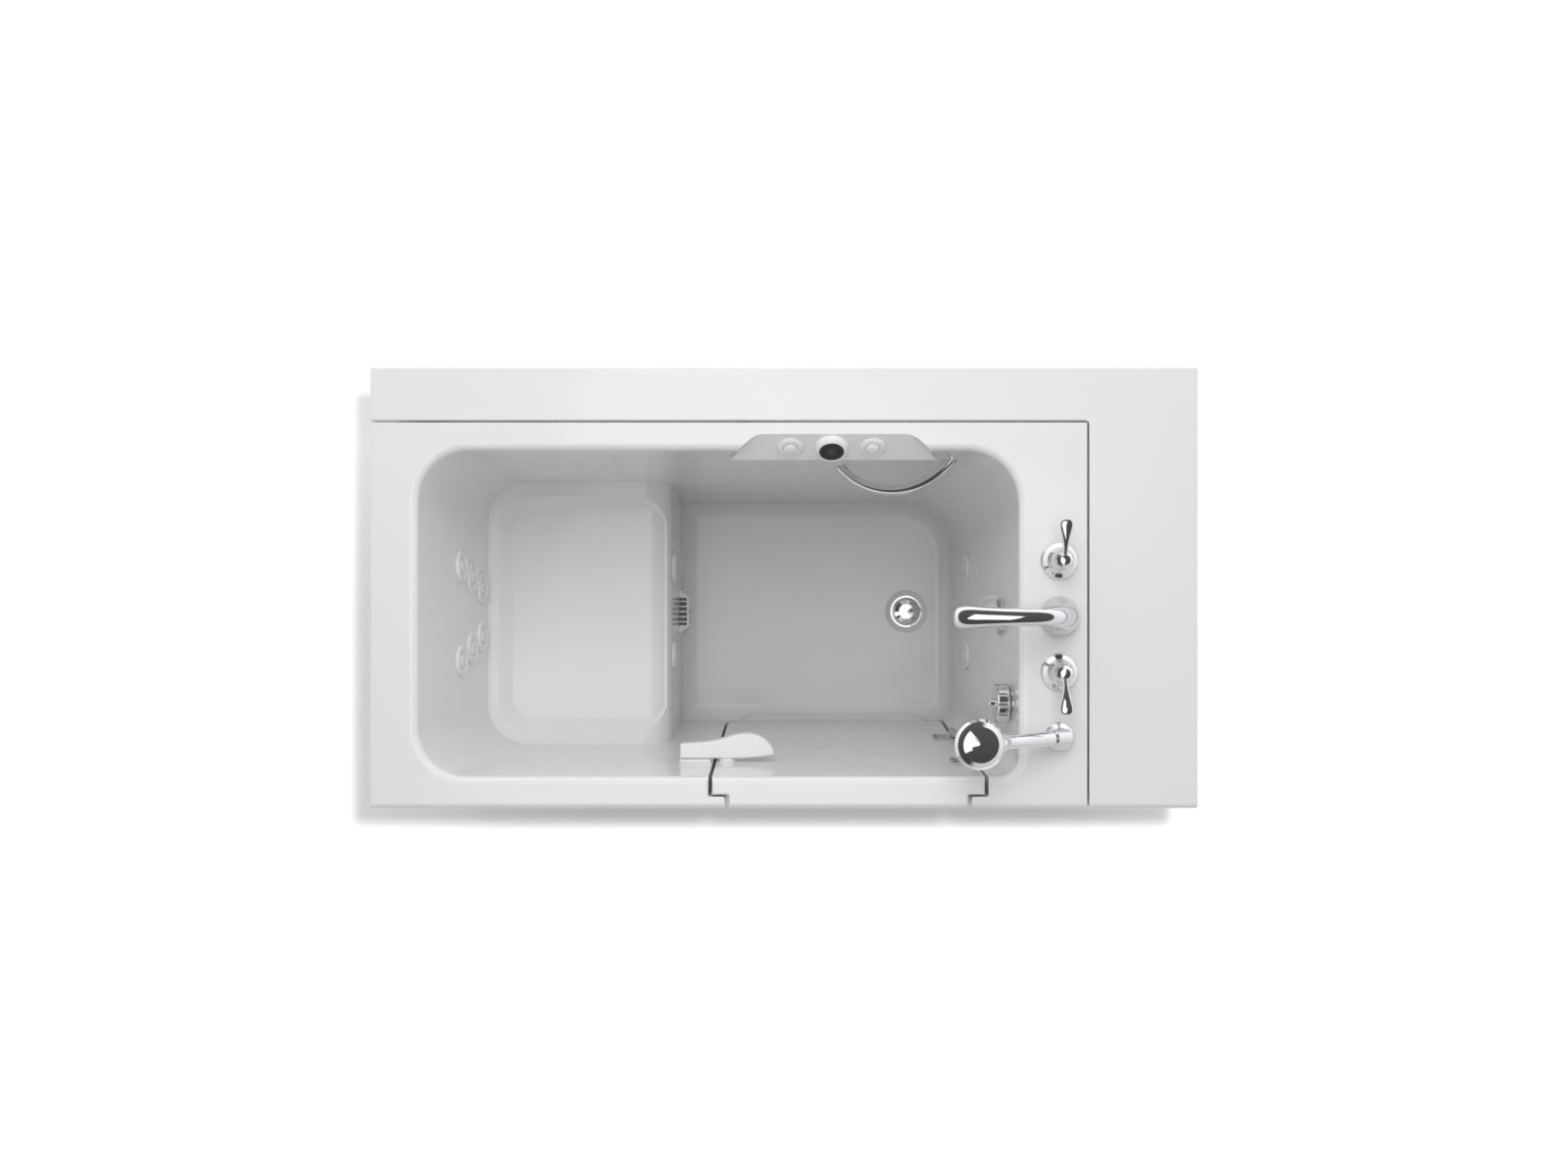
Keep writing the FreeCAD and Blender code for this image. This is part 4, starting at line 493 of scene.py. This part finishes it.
def addScrews():
    head = screwHead()
    places = np.array(coverScrews["at"])
    addPiece("suctionCoverScrews", *copies(*head, places, back, up, right), "tub", "stainless")
    axisX = joints["door_swing"]["pos_m"][0]
    wallY, wallZ = hingeScrews["rim"]
    heights = np.array([top - drop for top in hingeScrews["tops"] for drop in hingeScrews["drops"]])
    depths = wallY + hingeScrews["lean"] * (wallZ - heights) + hingeScrews["plate"]
    for name, body, side in (("frameHingeScrews", "tub", 1), ("doorHingeScrews", "door", -1)):
        places = np.stack([axisX + side * hingeScrews["reach"] + 0.0 * heights, depths, heights], axis=1)
        addPiece(name, *copies(*head, places, -right, up, back), body, "stainless")


display = {
    "centre": (0.0883, 0.26175, 0.9375),
    "outward": (0.0, -0.7843, 0.6203),
    "lensTop": 12.6,      # mm above the console's face at the lens's middle
    "lensFall": 0.019,    # and how much lower for each mm of radius
    "symbolAt": (4.6, 3.9),
    "symbolHalf": (2.9, 2.5),
    "barHalf": (0.35, 7.6),
    "line": 0.42,
    "rise": 0.16,
    "around": 64,
    "corner": 5,          # power of the loops' outline, 2 for an ellipse and more for squarer corners
}


def symbolLoop(centre, half):
    # square-cornered loop: superellipse |x/a|^n + |y/b|^n = 1, as a closed band with a flat top
    angle = np.linspace(0.0, 2 * math.pi, display["around"], endpoint=False)
    power = display["corner"]
    reach = (np.abs(np.cos(angle)) ** power + np.abs(np.sin(angle)) ** power) ** (-1 / power)
    sides = np.array([-1.0, -1.0, 1.0, 1.0])[:, None] * display["line"] / 2
    lift = np.array([-0.05, 1.0, 1.0, -0.05])[:, None] * display["rise"]
    x = centre[0] + np.cos(angle) * reach * (half[0] + sides)
    y = centre[1] + np.sin(angle) * reach * (half[1] + sides)
    z = display["lensTop"] - display["lensFall"] * np.hypot(x, y) + lift
    return np.stack([x, y, z], axis=2)


def addDisplaySymbols():
    # four square loops round an upright bar
    acrossAt, alongAt = display["symbolAt"]
    centres = [(sx * acrossAt, sy * alongAt) for sx in (-1, 1) for sy in (-1, 1)]
    loops = [symbolLoop(centre, display["symbolHalf"]) for centre in centres]
    loops.append(symbolLoop((0.0, 0.0), display["barHalf"]))
    rows, around = loops[0].shape[:2]
    faces = gridFaces(rows, around, True)[:, ::-1]
    faces = (faces[None, :, :] + (np.arange(len(loops)) * rows * around)[:, None, None]).reshape(-1, 4)
    outward = np.array(display["outward"])
    axes = (right, np.cross(outward, right), outward)
    band = copies(np.stack(loops) * millimetre, faces, np.array([display["centre"]]), *axes)
    addPiece("displaySymbols", *band, "tub", "black_glass", makePlastic("symbolGrey"))


spray = {
    "centre": (0.3466, -0.277, 1.075),
    "axis": (0.0995, 0.0, 0.995),
    "faceDrop": 13.0,     # mm from the head's middle to its spray face
    "rings": ((1, 0.0), (6, 8.0), (12, 16.0), (18, 24.0), (24, 32.0)),    # nubs in a ring, and its radius
    "nub": [(0.0, 1.9), (0.9, 1.9), (1.5, 1.3), (1.9, -0.2)],
    "around": 10,
}


def addSprayNubs():
    # turned nubs on rings: x = ring cos a, y = ring sin a on the spray face
    outward = -np.array(spray["axis"])
    outward /= np.linalg.norm(outward)
    across = np.cross(back, outward)
    angle = np.concatenate([np.arange(count) * 2 * math.pi / count for count, _ in spray["rings"]])
    reach = np.concatenate([np.full(count, radius) for count, radius in spray["rings"]])
    flat = (reach * np.cos(angle))[:, None] * across + (reach * np.sin(angle))[:, None] * back
    origins = np.array(spray["centre"]) + (flat + spray["faceDrop"] * outward) * millimetre
    points = turnedSurface(spray["nub"], spray["around"]) * millimetre
    faces = gridFaces(len(spray["nub"]), spray["around"])[:, ::-1]
    nubs = copies(points, faces, origins, across, back, outward)
    addPiece("sprayNubs", *nubs, "hand_shower", "grey_rubber")


aerator = {
    "centre": (0.329, -0.052, 1.0335),
    "profile": [(0.0, 2.0), (7.4, 2.0), (8.2, 1.4), (8.6, -0.6), (9.4, -1.0), (10.2, -0.4), (10.4, 3.0),
                (10.4, 6.0)],         # radius and height, mm
    "around": 64,
}


def addAerator():
    # turned insert: a sunk screen disc inside a rolled lip, facing down
    points = turnedSurface(aerator["profile"], aerator["around"]) * millimetre
    faces = gridFaces(len(aerator["profile"]), aerator["around"])
    insert = copies(points, faces, np.array([aerator["centre"]]), right, back, up)
    addPiece("spoutAerator", *insert, "tub", "stainless")


addCamera()
addSky()
addLamps(addFloor())
bpy.context.scene.view_settings.view_transform = "Standard"
print("camera, floor and light ready")
dressNodes()
print("finishes on", len(nodes), "nodes")
addScrews()
addDisplaySymbols()
addSprayNubs()
addAerator()
print("small pieces added")
